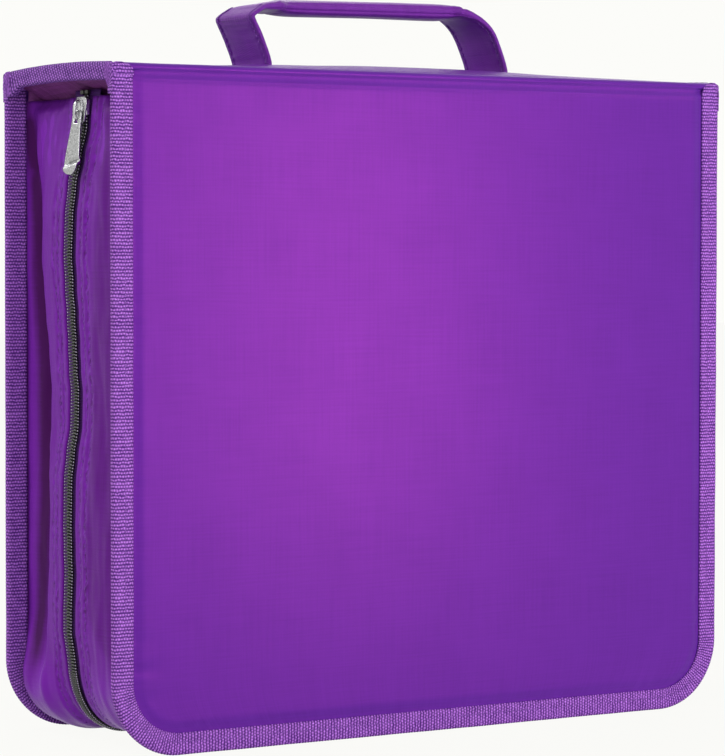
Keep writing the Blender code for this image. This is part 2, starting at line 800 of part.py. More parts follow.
def pull(pivot):
    """The pull tab, hung by its round bar in the slider's bail and leaning on the bulge of the gusset."""
    half_t = PULL_T / 2
    grow = (PULL_W_END - PULL_W_TOP) / 2
    half_top = PULL_W_TOP / 2
    stations = [
        (0.0, half_top, -half_t, half_t),
        (-0.28 * PULL_L, half_top + 0.1 * grow, -half_t, half_t),
        (-0.50 * PULL_L, half_top + 0.55 * grow, -half_t, half_t),
        (-0.86 * PULL_L, half_top + grow, -half_t, half_t),
        (-0.95 * PULL_L, half_top + 0.95 * grow, -half_t, half_t + 0.5),
        (-PULL_L, half_top + 0.6 * grow, 0.0, half_t + 0.7),
    ]
    bm = bmesh.new()
    cut = 0.25
    rings = []
    for z, half_w, low, high in stations:
        ring = [(half_w, low + cut), (half_w, high - cut), (half_w - cut, high), (cut - half_w, high)]
        ring += [(-half_w, high - cut), (-half_w, low + cut), (cut - half_w, low), (half_w - cut, low)]
        rings.append([(-n, y, z) for y, n in ring])
    loft(bm, rings)
    tab = bm
    lean_out = Matrix.Rotation(math.radians(PULL_LEAN_DEG), 4, "Y")
    place = Matrix.Translation(pivot["place"])

    def placed(name, piece):
        bmesh.ops.transform(piece, matrix=place @ lean_out, verts=piece.verts)
        return make_object(name, piece, metal(name), pivot)

    body = placed("zip_pull", tab)
    bm = bmesh.new()
    add_box(bm, (-PULL_T, -SLOT_W / 2, -half_t - SLOT_L), (PULL_T, SLOT_W / 2, PULL_T))
    combine(body, placed("pull_slot", bm), "DIFFERENCE")
    bm = bmesh.new()
    add_rod(bm, (0, 0, 0), half_t, PULL_W_TOP - 0.2, Matrix.Rotation(math.pi / 2, 4, "X"))
    combine(body, placed("pull_bar", bm), "UNION")


def build():
    clear_scene()
    fabric = spine_fabric()
    padding = spine_padding()
    plates = spine_plates()
    spine_end(-1, "left")
    spine_end(1, "right")
    handle(fabric, padding)
    inside(plates)
    front = Cover("front", -1)
    back = Cover("back", 1)
    front.build()
    back.build()
    middle = Vector((-HALF_W + zip_inset(SLIDER_Z), zip_y(SLIDER_Z), SLIDER_Z))
    carrier = empty_at("slider_track", middle, back.hinge)
    slider(carrier)
    pivot = empty_at("pull_pivot", middle + Vector((-PIVOT_N, 0, 0)), carrier)
    pull(pivot)


build()
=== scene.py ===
"""Looks of a zipped storage case for discs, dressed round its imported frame.

Sizes are in millimetres while a piece is shaped, and each mesh is scaled to metres when it
becomes an object. X runs along the spine, -Y is the front cover's side and +Z is up, as in the
frame.
"""

import json
import logging
import math
from dataclasses import dataclass
from enum import Enum
from typing import Callable, Iterable, Sequence

import bmesh
import bpy
from mathutils import Matrix, Vector, noise


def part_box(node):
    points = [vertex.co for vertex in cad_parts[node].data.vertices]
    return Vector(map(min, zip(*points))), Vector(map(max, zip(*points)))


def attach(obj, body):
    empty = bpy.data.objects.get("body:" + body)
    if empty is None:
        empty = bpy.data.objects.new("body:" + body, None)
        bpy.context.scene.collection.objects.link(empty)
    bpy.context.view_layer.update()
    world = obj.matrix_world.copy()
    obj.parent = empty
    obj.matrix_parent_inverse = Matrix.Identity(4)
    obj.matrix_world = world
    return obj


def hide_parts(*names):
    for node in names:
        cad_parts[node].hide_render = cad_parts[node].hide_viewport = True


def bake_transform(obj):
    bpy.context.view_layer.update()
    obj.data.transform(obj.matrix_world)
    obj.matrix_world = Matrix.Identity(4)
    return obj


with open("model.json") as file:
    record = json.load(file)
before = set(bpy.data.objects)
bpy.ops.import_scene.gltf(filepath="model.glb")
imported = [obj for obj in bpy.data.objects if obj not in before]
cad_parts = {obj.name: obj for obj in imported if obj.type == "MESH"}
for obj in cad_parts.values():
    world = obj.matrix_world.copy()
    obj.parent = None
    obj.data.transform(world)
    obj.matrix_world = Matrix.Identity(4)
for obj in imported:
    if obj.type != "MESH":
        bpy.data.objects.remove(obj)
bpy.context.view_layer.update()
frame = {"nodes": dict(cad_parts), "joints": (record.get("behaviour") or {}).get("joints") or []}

MM = 0.001
SURFACE_MAP = "surface"
# Name of the map that carries the gusset's painted light and shade.
PAINTED_SHADE_MAP = "folds"
TURN = 2 * math.pi
CLOTH_T = 0.6
TAPE_T = 0.7
THIN_T = 0.5
THINNEST_T = 0.4
EDGE_STITCH = (2.3, 0.34)
GUSSET_STITCH = (2.2, 0.26)
COIL_STITCH = (0.75, 0.3)
HANDLE_STITCH = (2.2, 0.3)
Colour = tuple[float, float, float]
Place = Callable[[float, float], Vector]

logging.basicConfig(level=logging.INFO, format="%(message)s")
log = logging.getLogger("disc_case")


def linear(red: int, green: int, blue: int) -> Colour:
    """Turns a colour as the eye reads it into the numbers that a shader takes.

    Args:
        red: The red part, 0 to 255.
        green: The green part, 0 to 255.
        blue: The blue part, 0 to 255.

    Returns:
        The colour in linear light, 0 to 1.
    """
    parts = [part / 255 for part in (red, green, blue)]
    return tuple(p / 12.92 if p < 0.04045 else ((p + 0.055) / 1.055) ** 2.4 for p in parts)


def ease(share: float) -> float:
    """A smooth step from 0 to 1."""
    share = max(0.0, min(1.0, share))
    return share * share * (3 - 2 * share)


def hump(value: float, middle: float, reach: float) -> float:
    """A smooth bump: 1 at the middle, 0 from a reach away."""
    return ease(1 - abs(value - middle) / reach)


def along_keys(keys: Sequence[tuple[float, float]], value: float) -> float:
    """Reads a smooth line drawn through keys.

    Args:
        keys: (position, height) pairs, positions falling.
        value: Where to read the line.

    Returns:
        The height there, level outside the keys.
    """
    if value >= keys[0][0]:
        return keys[0][1]
    for (high, at_high), (low, at_low) in zip(keys, keys[1:]):
        if value >= low:
            return at_low + (at_high - at_low) * ease((value - low) / (high - low))
    return keys[-1][1]


def wrinkle(x: float, y: float, seed: float) -> float:
    """Smooth unevenness from about -1 to 1."""
    return noise.noise(Vector((x, y, seed)))


def node_box(name: str) -> tuple[Vector, Vector]:
    """A CAD node's lowest and highest corners, in millimetres."""
    low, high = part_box(name)
    return low / MM, high / MM


# Shader nodes


class Where(Enum):
    """What a pattern follows."""

    SURFACE = "the piece's own map, in millimetres of cloth"
    BODY = "the piece's place in the case"


class Graph:
    """Adds and joins the nodes of one material or group."""

    def __init__(self, tree: bpy.types.NodeTree) -> None:
        """Starts on an empty or a fresh tree."""
        self.tree = tree

    def feed(self, socket: bpy.types.NodeSocket, value: object) -> None:
        """Joins a socket to another one, or sets its value.

        Args:
            socket: The socket.
            value: The other socket, or a value.
        """
        if isinstance(value, bpy.types.NodeSocket):
            self.tree.links.new(value, socket)
        else:
            socket.default_value = value

    def node(self, kind: str, inputs: dict | None = None, **settings: object) -> bpy.types.Node:
        """Adds a node.

        Args:
            kind: Blender's name for the node.
            inputs: Values or sockets for its inputs, by name or number.
            **settings: The node's own settings.

        Returns:
            The node.
        """
        made = self.tree.nodes.new(kind)
        for key, value in settings.items():
            setattr(made, key, value)
        for key, value in (inputs or {}).items():
            self.feed(made.inputs[key], value)
        return made

    def maths(self, operation: str, *values: object) -> bpy.types.NodeSocket:
        """Adds a Math node and gives its result."""
        return self.node("ShaderNodeMath", dict(enumerate(values)), operation=operation).outputs[0]

    def wave(self, turns: object) -> bpy.types.NodeSocket:
        """A wave from 0 to 1 that peaks at whole turns."""
        swing = self.maths("COSINE", self.maths("MULTIPLY", turns, TURN))
        return self.maths("MULTIPLY_ADD", swing, 0.5, 0.5)

    def ramp(self, value: object, start: float, end: float) -> bpy.types.NodeSocket:
        """Turns the values from start to end into 0 to 1."""
        inputs = {"Value": value, "From Min": start, "From Max": end}
        return self.node("ShaderNodeMapRange", inputs).outputs[0]

    def mix(self, share: object, first: object, second: object) -> bpy.types.NodeSocket:
        """Mixes two colours and gives the result."""
        inputs = {0: share, 6: first, 7: second}
        return self.node("ShaderNodeMix", inputs, data_type="RGBA").outputs[2]

    def place(self, where: Where) -> bpy.types.NodeSocket:
        """Where a point lies, in millimetres.

        Args:
            where: What the pattern follows.

        Returns:
            The place.
        """
        if where is Where.SURFACE:
            return self.node("ShaderNodeUVMap", uv_map=SURFACE_MAP).outputs["UV"]
        place = self.node("ShaderNodeTexCoord").outputs["Object"]
        inputs = {0: place, 1: (1 / MM, 1 / MM, 1 / MM)}
        return self.node("ShaderNodeVectorMath", inputs, operation="MULTIPLY").outputs[0]

    def stretched(self, place: object, scale: tuple[float, float, float]) -> bpy.types.NodeSocket:
        """A place stretched along its axes, for a pattern that runs in lines."""
        return self.node("ShaderNodeMapping", {"Vector": place, "Scale": scale}).outputs[0]

    def noise(self, place: object, scale: object, detail: float = 3.0) -> bpy.types.NodeSocket:
        """A noise value about 0.5."""
        inputs = {"Vector": place, "Scale": scale, "Detail": detail}
        return self.node("ShaderNodeTexNoise", inputs).outputs[0]

    def use(self, group: bpy.types.NodeTree, inputs: dict) -> bpy.types.Node:
        """Places a node group with its own values.

        Args:
            group: The group.
            inputs: Values or sockets for its inputs, by name.

        Returns:
            The node.
        """
        made = self.tree.nodes.new("ShaderNodeGroup")
        made.node_tree = group
        for key, value in inputs.items():
            self.feed(made.inputs[key], value)
        return made


class SharedEffects:
    """The node groups that more than one finish uses, each built once."""

    def __init__(self) -> None:
        """Builds the groups."""
        self.threads = self.build_threads()
        self.ribs = self.build_ribs()
        self.patches = self.build_patches()
        self.scuffs_and_shade = self.build_scuffs_and_shade()

    def start(self, name: str, inputs: dict[str, object], outputs: Sequence[str]) -> tuple:
        """Starts a group.

        Args:
            name: The group's name.
            inputs: Its inputs with their values.
            outputs: Its outputs.

        Returns:
            Its graph, its input sockets by name, and its output node.
        """
        tree = bpy.data.node_groups.new(name, "ShaderNodeTree")
        for key, value in inputs.items():
            kind = "NodeSocketVector" if isinstance(value, tuple) else "NodeSocketFloat"
            tree.interface.new_socket(key, in_out="INPUT", socket_type=kind).default_value = value
        for key in outputs:
            tree.interface.new_socket(key, in_out="OUTPUT", socket_type="NodeSocketFloat")
        graph = Graph(tree)
        return graph, graph.node("NodeGroupInput").outputs, graph.node("NodeGroupOutput")

    def build_threads(self) -> bpy.types.NodeTree:
        """Crossed threads of a plain weave, some of them thicker.

        Returns:
            The group.
        """
        graph, given, out = self.start(
            "crossed_threads", {"Place": (0, 0, 0), "Pitch": 0.5, "Slub": 0.5}, ("Relief", "Tone")
        )
        apart = graph.node("ShaderNodeSeparateXYZ", {0: given["Place"]}).outputs
        waves = []
        for axis in ("X", "Y"):
            turns = graph.maths("DIVIDE", apart[axis], given["Pitch"])
            waves.append(graph.maths("SINE", graph.maths("MULTIPLY", turns, TURN)))
        over = graph.maths("MULTIPLY", waves[0], waves[1])
        graph.feed(out.inputs["Relief"], graph.maths("MULTIPLY_ADD", over, 0.5, 0.5))
        rows = graph.noise(graph.stretched(given["Place"], (0.035, 1.3, 1)), 1.0, 2.0)
        columns = graph.noise(graph.stretched(given["Place"], (1.1, 0.03, 1)), 1.0, 2.0)
        both = graph.maths("SUBTRACT", graph.maths("ADD", rows, columns), 1.0)
        graph.feed(out.inputs["Tone"], graph.maths("MULTIPLY_ADD", both, given["Slub"], 0.5))
        return graph.tree

    def build_ribs(self) -> bpy.types.NodeTree:
        """Cross ribs of a woven tape, each made of short thread floats.

        Returns:
            The group.
        """
        graph, given, out = self.start(
            "tape_ribs",
            {"Place": (0, 0, 0), "Pitch": 1.5, "Float": 0.8, "Lean": 0.0, "Wander": 1.0},
            ("Crest", "Dash"),
        )
        apart = graph.node("ShaderNodeSeparateXYZ", {0: given["Place"]}).outputs
        loose = graph.maths("SUBTRACT", graph.noise(given["Place"], 0.45, 2.0), 0.5)
        leaning = graph.maths("MULTIPLY_ADD", apart["Y"], given["Lean"], apart["X"])
        leaning = graph.maths("MULTIPLY_ADD", loose, given["Wander"], leaning)
        rib = graph.maths("DIVIDE", leaning, given["Pitch"])
        graph.feed(out.inputs["Crest"], graph.wave(rib))
        step = graph.maths("MULTIPLY", graph.maths("ROUND", rib), 0.5)
        dash = graph.maths("ADD", graph.maths("DIVIDE", apart["Y"], given["Float"]), step)
        graph.feed(out.inputs["Dash"], graph.wave(dash))
        return graph.tree

    def build_patches(self) -> bpy.types.NodeTree:
        """Slow unevenness of a dye or a moulding.

        Returns:
            The group.
        """
        inputs = {"Place": (0, 0, 0), "Size": 20.0}
        graph, given, out = self.start("uneven_tone", inputs, ("Value",))
        scale = graph.maths("DIVIDE", 1.0, given["Size"])
        graph.feed(out.inputs["Value"], graph.noise(given["Place"], scale, 4.0))
        return graph.tree

    def build_scuffs_and_shade(self) -> bpy.types.NodeTree:
        """Fine scratches, rubbed edges, and painted shade that darkens hollows.

        Returns:
            The group.
        """
        inputs = {"Place": (0, 0, 0), "Length": 8.0, "Edge": 0.5}
        graph, given, out = self.start("scuffs_and_shade", inputs, ("Scratch", "Rubbed", "RecessShade"))
        scale = graph.maths("DIVIDE", 6.0, given["Length"])
        thin = graph.noise(graph.stretched(given["Place"], (1, 9, 3)), scale, 4.0)
        graph.feed(out.inputs["Scratch"], graph.ramp(thin, 0.62, 0.72))
        sharp = graph.node("ShaderNodeNewGeometry").outputs["Pointiness"]
        edge = graph.ramp(sharp, 0.5, 0.62)
        # Painted shade: hollows, found by their low pointiness, are made darker.
        graph.feed(out.inputs["RecessShade"], graph.ramp(sharp, 0.49, 0.4))
        broken = graph.maths("MULTIPLY", edge, graph.noise(given["Place"], 1.7, 3.0))
        graph.feed(out.inputs["Rubbed"], graph.maths("MULTIPLY", broken, given["Edge"]))
        return graph.tree


effects = SharedEffects()
made_materials: dict[str, bpy.types.Material] = {}


def uneven(graph: Graph, place: object, size: float) -> bpy.types.NodeSocket:
    """A slow unevenness whose patches have about a size."""
    return graph.use(effects.patches, {"Place": place, "Size": size}).outputs["Value"]


@dataclass(frozen=True)
class Finish:
    """What every finish has: a name, where its pattern runs, its gloss and its bump."""

    name: str
    dark: Colour
    light: Colour
    roughness: float = 0.6
    metallic: float = 0.0
    specular: float = 0.5
    tint: Colour = (1.0, 1.0, 1.0)
    bump: float = 0.1
    where: Where = Where.SURFACE

    def pattern(self, graph: Graph, place: bpy.types.NodeSocket) -> tuple:
        """Builds the pattern.

        Args:
            graph: The material's graph.
            place: Where a point lies, in millimetres.

        Returns:
            The share of the light colour, and the height of the surface, both about 0 to 1.
        """
        patches = uneven(graph, place, 6.0)
        return patches, patches

    def material(self) -> bpy.types.Material:
        """Makes the material, once.

        Returns:
            The material.
        """
        if self.name in made_materials:
            return made_materials[self.name]
        material = bpy.data.materials.new(self.name)
        material.use_nodes = True
        graph = Graph(material.node_tree)
        shader = material.node_tree.nodes["Principled BSDF"]
        tone, height = self.pattern(graph, graph.place(self.where))
        graph.feed(shader.inputs["Base Color"], graph.mix(tone, (*self.dark, 1), (*self.light, 1)))
        rough = graph.maths("MULTIPLY_ADD", tone, -0.12, self.roughness + 0.06)
        graph.feed(shader.inputs["Roughness"], rough)
        bump = graph.node(
            "ShaderNodeBump", {"Height": height, "Strength": 1.0, "Distance": self.bump * MM}
        )
        graph.feed(shader.inputs["Normal"], bump.outputs[0])
        shader.inputs["Metallic"].default_value = self.metallic
        shader.inputs["Specular IOR Level"].default_value = self.specular
        shader.inputs["Specular Tint"].default_value = (*self.tint, 1)
        made_materials[self.name] = material
        return material


@dataclass(frozen=True)
class WovenCloth(Finish):
    """Plain-woven nylon with faint slubs both ways."""

    pitch: float = 0.5
    slub: float = 0.8
    patch: float = 22.0

    def pattern(self, graph: Graph, place: bpy.types.NodeSocket) -> tuple:
        """Threads over a slow unevenness of the dye.

        Args:
            graph: The material's graph.
            place: Where a point lies, in millimetres.

        Returns:
            The share of the light colour, and the height of the surface.
        """
        values = {"Place": place, "Pitch": self.pitch, "Slub": self.slub}
        threads = graph.use(effects.threads, values).outputs
        dye = graph.maths("MULTIPLY_ADD", uneven(graph, place, self.patch), 0.4, -0.2)
        tone = graph.maths("ADD", threads["Tone"], dye)
        sunk = graph.maths("MULTIPLY_ADD", threads["Relief"], 0.12, -0.06)
        height = graph.maths("MULTIPLY_ADD", threads["Tone"], 0.6, threads["Relief"])
        return graph.maths("ADD", tone, sunk), height


@dataclass(frozen=True)
class PaintedShadeCloth(WovenCloth):
    """Woven nylon with painted shade in its deep creases, and painted light and shade along its
    puckers.
    """

    kept: float = 0.42
    depth: float = 0.85

    def pattern(self, graph: Graph, place: bpy.types.NodeSocket) -> tuple:
        """The weave with painted light and shade: darker where the piece's second map is above 0,
        lighter where it is below.

        Args:
            graph: The material's graph.
            place: Where a point lies, in millimetres.

        Returns:
            The share of the light colour, and the height of the surface.
        """
        tone, height = super().pattern(graph, place)
        folds = graph.node("ShaderNodeUVMap", uv_map=PAINTED_SHADE_MAP).outputs["UV"]
        # Painted shade: this map's value darkens the tone, and a value below 0 lightens it as
        # painted light.
        sunk = graph.node("ShaderNodeSeparateXYZ", {0: folds}).outputs["X"]
        plain = graph.maths("MULTIPLY_ADD", tone, 1.0 - self.kept, self.kept)
        return graph.maths("MULTIPLY_ADD", sunk, -self.depth, plain), height


@dataclass(frozen=True)
class RibbedTape(Finish):
    """Grosgrain tape: light crests of short floats between dark gaps."""

    pitch: float = 1.5
    floats: float = 1.4
    lean: float = 0.0
    crest: float = 0.34
    dash: float = 0.66
    wander: float = 1.3

    def pattern(self, graph: Graph, place: bpy.types.NodeSocket) -> tuple:
        """Ribs broken into floats, with a little unevenness.

        Args:
            graph: The material's graph.
            place: Where a point lies, in millimetres.

        Returns:
            The share of the light colour, and the height of the surface.
        """
        values = {
            "Place": place, "Pitch": self.pitch, "Float": self.floats, "Lean": self.lean,
            "Wander": self.wander,
        }
        ribs = graph.use(effects.ribs, values).outputs
        floats = graph.maths("MULTIPLY", ribs["Dash"], self.dash)
        tone = graph.maths("MULTIPLY", ribs["Crest"], graph.maths("ADD", floats, self.crest))
        fine = graph.maths("MULTIPLY_ADD", uneven(graph, place, 1.1), 1.2, 0.4)
        dye = graph.maths("MULTIPLY_ADD", uneven(graph, place, 5.0), 0.4, -0.2)
        return graph.maths("ADD", graph.maths("MULTIPLY", tone, fine), dye), tone


@dataclass(frozen=True)
class RubbedSolid(Finish):
    """Metal or plastic with a fine grain, thin scratches, rubbed edges and painted shade in its
    hollows.
    """

    grain: float = 0.5
    scratch: float = 0.3
    edge: float = 0.5
    recess_shade: float = 0.6

    def pattern(self, graph: Graph, place: bpy.types.NodeSocket) -> tuple:
        """Grain and scratches; rubbed edges turn lighter, and hollows turn darker with painted
        shade.

        Args:
            graph: The material's graph.
            place: Where a point lies, in millimetres.

        Returns:
            The share of the light colour, and the height of the surface.
        """
        grain = uneven(graph, place, self.grain)
        values = {"Place": place, "Length": 8.0, "Edge": self.edge}
        scuffs_and_shade = graph.use(effects.scuffs_and_shade, values).outputs
        worn = graph.maths("ADD", grain, scuffs_and_shade["Rubbed"])
        # Painted shade darkens the hollows.
        worn = graph.maths("MULTIPLY_ADD", scuffs_and_shade["RecessShade"], -self.recess_shade, worn)
        tone = graph.maths("MULTIPLY_ADD", scuffs_and_shade["Scratch"], self.scratch, worn)
        return tone, graph.maths("MULTIPLY_ADD", scuffs_and_shade["Scratch"], -self.scratch, grain)


MAGENTA_GLOSS = (1.0, 0.09, 0.85)
NYLON = WovenCloth(
    "purple_nylon", linear(67, 28, 122), linear(92, 39, 150), 0.33, tint=MAGENTA_GLOSS,
    bump=0.012, slub=0.5,
)
SPINE_NYLON = WovenCloth(
    "spine_nylon", linear(80, 29, 126), linear(108, 41, 154), 0.5, specular=0.16,
    tint=MAGENTA_GLOSS, bump=0.02, slub=0.5,
)
# Its dark colour is the painted shade of the creases; the rest of the cloth keeps to the upper part
# of the range.
GUSSET_PAINTED_SHADE = PaintedShadeCloth(
    "gusset_nylon", linear(62, 20, 78), linear(119, 38, 168), 0.46, specular=0.18,
    tint=MAGENTA_GLOSS, bump=0.03, slub=0.45,
)
STRAP = WovenCloth(
    "handle_nylon", linear(80, 28, 118), linear(126, 50, 168), 0.4, specular=0.3,
    tint=(1.0, 0.4, 0.95), bump=0.07, pitch=0.8, slub=0.5, patch=6.0,
)
TAPE = RibbedTape(
    "binding_tape", linear(72, 28, 110), linear(194, 123, 231), 0.62, specular=0.12, bump=0.14
)
LIP_TAPE = RibbedTape(
    "lip_tape", linear(60, 22, 96), linear(176, 112, 214), 0.62, specular=0.12, bump=0.14,
    pitch=2.3, floats=1.25, lean=0.6, crest=0.3, dash=0.7,
)
ZIP_TAPE = RibbedTape(
    "zip_tape", linear(44, 16, 66), linear(96, 40, 136), 0.7, specular=0.2, bump=0.1, pitch=0.7,
    floats=0.9,
)
THREAD = RibbedTape(
    "sewing_thread", linear(84, 40, 122), linear(158, 98, 198), 0.55, specular=0.3, bump=0.05,
    pitch=0.5, floats=0.9,
)
COIL = RubbedSolid(
    "zip_coil", linear(8, 8, 8), linear(46, 48, 44), 0.22, bump=0.02, where=Where.BODY
)
COIL_THREAD = RubbedSolid(
    "coil_thread", linear(120, 104, 136), linear(200, 184, 212), 0.6, bump=0.02, where=Where.BODY
)
# Its hollows get strong painted shade.
NICKEL = RubbedSolid(
    "nickel_plate", linear(86, 87, 89), linear(216, 217, 218), 0.27, metallic=1.0, bump=0.12,
    grain=0.9, recess_shade=1.2, where=Where.BODY,
)
# A darker copy of the nickel for the zip stops: painted shade of the hollow under the spine's end.
NICKEL_PAINTED_SHADE = RubbedSolid(
    "nickel_painted_shade", linear(40, 40, 38), linear(84, 84, 80), 0.5, metallic=1.0, bump=0.05,
    where=Where.BODY,
)
STEEL = RubbedSolid(
    "rivet_steel", linear(140, 141, 143), linear(200, 201, 203), 0.34, metallic=1.0, bump=0.03,
    where=Where.BODY,
)
LINING = WovenCloth(
    "black_lining", linear(30, 30, 33), linear(62, 62, 66), 0.8, bump=0.1, pitch=0.7, slub=0.5
)
BOARD = RubbedSolid(
    "stiffener_board", linear(104, 100, 94), linear(150, 146, 138), 0.85, bump=0.08, grain=1.2,
    edge=0.1, where=Where.BODY,
)
FOAM = RubbedSolid(
    "foam", linear(206, 204, 196), linear(240, 239, 234), 0.9, bump=0.3, grain=0.9, scratch=0.0,
    edge=0.0, where=Where.BODY,
)
FILM = RubbedSolid(
    "sleeve_film", linear(212, 213, 214), linear(240, 241, 242), 0.22, bump=0.04, grain=30.0,
    scratch=0.1, edge=0.2,
)
RAIL = RubbedSolid(
    "black_plastic", linear(26, 26, 28), linear(58, 58, 61), 0.42, bump=0.03, grain=0.6,
    where=Where.BODY,
)
# The tucked cloth is the gusset's purple nylon; its dark maroon colours are painted shade of the
# hollow behind the hanging end.
PLEAT_PAINTED_SHADE = WovenCloth(
    "pleat_nylon_painted_shade", linear(62, 22, 62), linear(140, 62, 146), 0.6, specular=0.2, bump=0.06, slub=0.8,
    patch=7.0,
)


# Meshes


def add_map(bm: bmesh.types.BMesh, read: Callable[[Vector], tuple[float, float]]) -> None:
    """Gives a shape its map, read from the place of each corner of its faces.

    Args:
        bm: The shape.
        read: Gives the map's two values from a place on the shape.
    """
    layer = bm.loops.layers.uv.new(SURFACE_MAP)
    for loop in (loop for face in bm.faces for loop in face.loops):
        loop[layer].uv = read(loop.vert.co)


def shaped_grid(
    columns: int, rows: int, place: Place, size: tuple[float, float], facing: Vector | None = None
) -> bmesh.types.BMesh:
    """Makes a sheet by moving the points of a grid.

    Args:
        columns: Steps along the sheet.
        rows: Steps across it.
        place: Gives a point in the case, in millimetres, from shares along and across.
        size: The sheet's length and width in millimetres, for its map.
        facing: Which way the faces at the sheet's middle look.

    Returns:
        The sheet with its own map.
    """
    bm = bmesh.new()
    bmesh.ops.create_grid(bm, x_segments=columns, y_segments=rows, size=0.5)
    add_map(bm, lambda spot: ((spot.x + 0.5) * size[0], (spot.y + 0.5) * size[1]))
    for vert in bm.verts:
        vert.co = place(vert.co.x + 0.5, vert.co.y + 0.5)
    bm.normal_update()
    if facing is not None:
        bm.faces.ensure_lookup_table()
        middle = bm.faces[(rows // 2) * columns + columns // 2]
        if middle.normal.dot(facing) < 0:
            bmesh.ops.reverse_faces(bm, faces=bm.faces)
    return bm


def add_object(name: str, data: bpy.types.ID) -> bpy.types.Object:
    """Puts an object with its data into the scene.

    Args:
        name: The object's name.
        data: Its mesh, camera or lamp.

    Returns:
        The object.
    """
    obj = bpy.data.objects.new(name, data)
    bpy.context.scene.collection.objects.link(obj)
    return obj


def make_piece(
    name: str, bm: bmesh.types.BMesh, finish: Finish, thickness: float = 0.0
) -> bpy.types.Object:
    """Turns a shape in case millimetres into an object at the origin.

    Args:
        name: The piece's name.
        bm: The shape.
        finish: What it is made of.
        thickness: For a sheet, how thick it grows inwards.

    Returns:
        The object.
    """
    bmesh.ops.scale(bm, vec=(MM, MM, MM), verts=bm.verts)
    mesh = bpy.data.meshes.new(name)
    bm.to_mesh(mesh)
    bm.free()
    mesh.materials.append(finish.material())
    mesh.shade_smooth()
    obj = add_object(name, mesh)
    if thickness:
        solid = obj.modifiers.new("thickness", "SOLIDIFY")
        solid.thickness = thickness * MM
        solid.offset = -1.0
    log.info("%s: %d faces", name, len(mesh.polygons))
    return obj


def settle(obj: bpy.types.Object, body: str, slot: str, *nodes: str) -> bpy.types.Object:
    """Gives a piece its body and hides the CAD nodes that it stands for.

    Args:
        obj: The piece.
        body: The body that it rides on.
        slot: What it is made of; not used.
        *nodes: The nodes that it stands for.

    Returns:
        The piece.
    """
    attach(obj, body)
    if nodes:
        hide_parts(*nodes)
    return obj


def repeat(template: bmesh.types.BMesh, places: Iterable[Matrix]) -> bmesh.types.BMesh:
    """Sets copies of one small shape at many places.

    Args:
        template: The shape.
        places: A matrix for each copy, in case millimetres.

    Returns:
        All the copies in one shape.
    """
    mesh = bpy.data.meshes.new("template")
    template.to_mesh(mesh)
    template.free()
    bm = bmesh.new()
    for place in places:
        copy = mesh.copy()
        copy.transform(place)
        bm.from_mesh(copy)
        bpy.data.meshes.remove(copy)
    bpy.data.meshes.remove(mesh)
    return bm


def join(bm: bmesh.types.BMesh, part: bmesh.types.BMesh) -> None:
    """Adds one shape to another.

    Args:
        bm: The shape that grows.
        part: The shape that is added and freed.
    """
    mesh = bpy.data.meshes.new("part")
    part.to_mesh(mesh)
    part.free()
    bm.from_mesh(mesh)
    bpy.data.meshes.remove(mesh)


def add_block(bm: bmesh.types.BMesh, centre: tuple, size: tuple) -> None:
    """Adds an upright block round a point."""
    shape = Matrix.Translation(centre) @ Matrix.Diagonal((*size, 1.0))
    bmesh.ops.create_cube(bm, size=1.0, matrix=shape)


def oriented(origin: Vector, along: Vector, normal: Vector) -> Matrix:
    """A matrix whose X runs along and whose Z points along the normal.

    Args:
        origin: Where it starts.
        along: Its X.
        normal: The way that its Z points.

    Returns:
        The matrix.
    """
    along = along.normalized()
    across = normal.cross(along).normalized()
    up = along.cross(across)
    turn = Matrix((along, across, up)).transposed().to_4x4()
    return Matrix.Translation(origin) @ turn


def stitch_shape(length: float, radius: float) -> bmesh.types.BMesh:
    """One stitch: a short bead of thread with tapered ends.

    Args:
        length: The stitch's length.
        radius: Half its width.

    Returns:
        The bead.
    """
    bm = bmesh.new()
    bmesh.ops.create_icosphere(bm, subdivisions=1, radius=1.0)
    add_map(bm, lambda spot: (spot.x * length / 2, spot.y * radius))
    bmesh.ops.scale(bm, vec=(length / 2, radius, radius * 0.8), verts=bm.verts)
    return bm


def stitch_places(
    place: Place, spots: Iterable[tuple[float, float]], outward: Callable[[Vector], Vector]
) -> list[Matrix]:
    """Finds where stitches lie on a surface, each along the surface's length.

    Args:
        place: The surface.
        spots: Shares along and across it.
        outward: Gives the way out of the case at a point.

    Returns:
        A matrix for each stitch.
    """
    step = 0.0008
    found = []
    for u, v in spots:
        first, second = place(max(0.0, u - step), v), place(min(1.0, u + step), v)
        along = second - first
        across = place(u, min(1.0, v + 0.01)) - place(u, max(0.0, v - 0.01))
        normal = along.cross(across)
        middle = (first + second) / 2
        if normal.dot(outward(middle)) < 0:
            normal = -normal
        found.append(oriented(middle, along, normal))
    return found


def tube(
    points: Sequence[Vector], radius: float, sides: int, closed: bool = False
) -> bmesh.types.BMesh:
    """Sweeps a round wire through points.

    Args:
        points: The wire's own line.
        radius: Half its thickness.
        sides: Sides of its section.
        closed: Whether the end meets the start.

    Returns:
        The wire.
    """
    bm = bmesh.new()
    count = len(points)
    rings = []
    for i, point in enumerate(points):
        before = points[i - 1] if closed or i else point
        after = points[(i + 1) % count] if closed or i < count - 1 else point
        turn = (after - before).to_track_quat("Z", "Y").to_matrix().to_4x4()
        ring = bmesh.ops.create_circle(
            bm, segments=sides, radius=radius, matrix=Matrix.Translation(point) @ turn
        )["verts"]
        rings.append(ring)
    pairs = list(zip(rings, rings[1:]))
    if closed:
        pairs.append((rings[-1], rings[0]))
    for first, second in pairs:
        edges = {e for ring in (first, second) for v in ring for e in v.link_edges
                 if all(w in ring for w in e.verts)}
        bmesh.ops.bridge_loops(bm, edges=list(edges))
    if not closed:
        bmesh.ops.holes_fill(bm, edges=bm.edges, sides=sides)
    bmesh.ops.recalc_face_normals(bm, faces=bm.faces)
    return bm


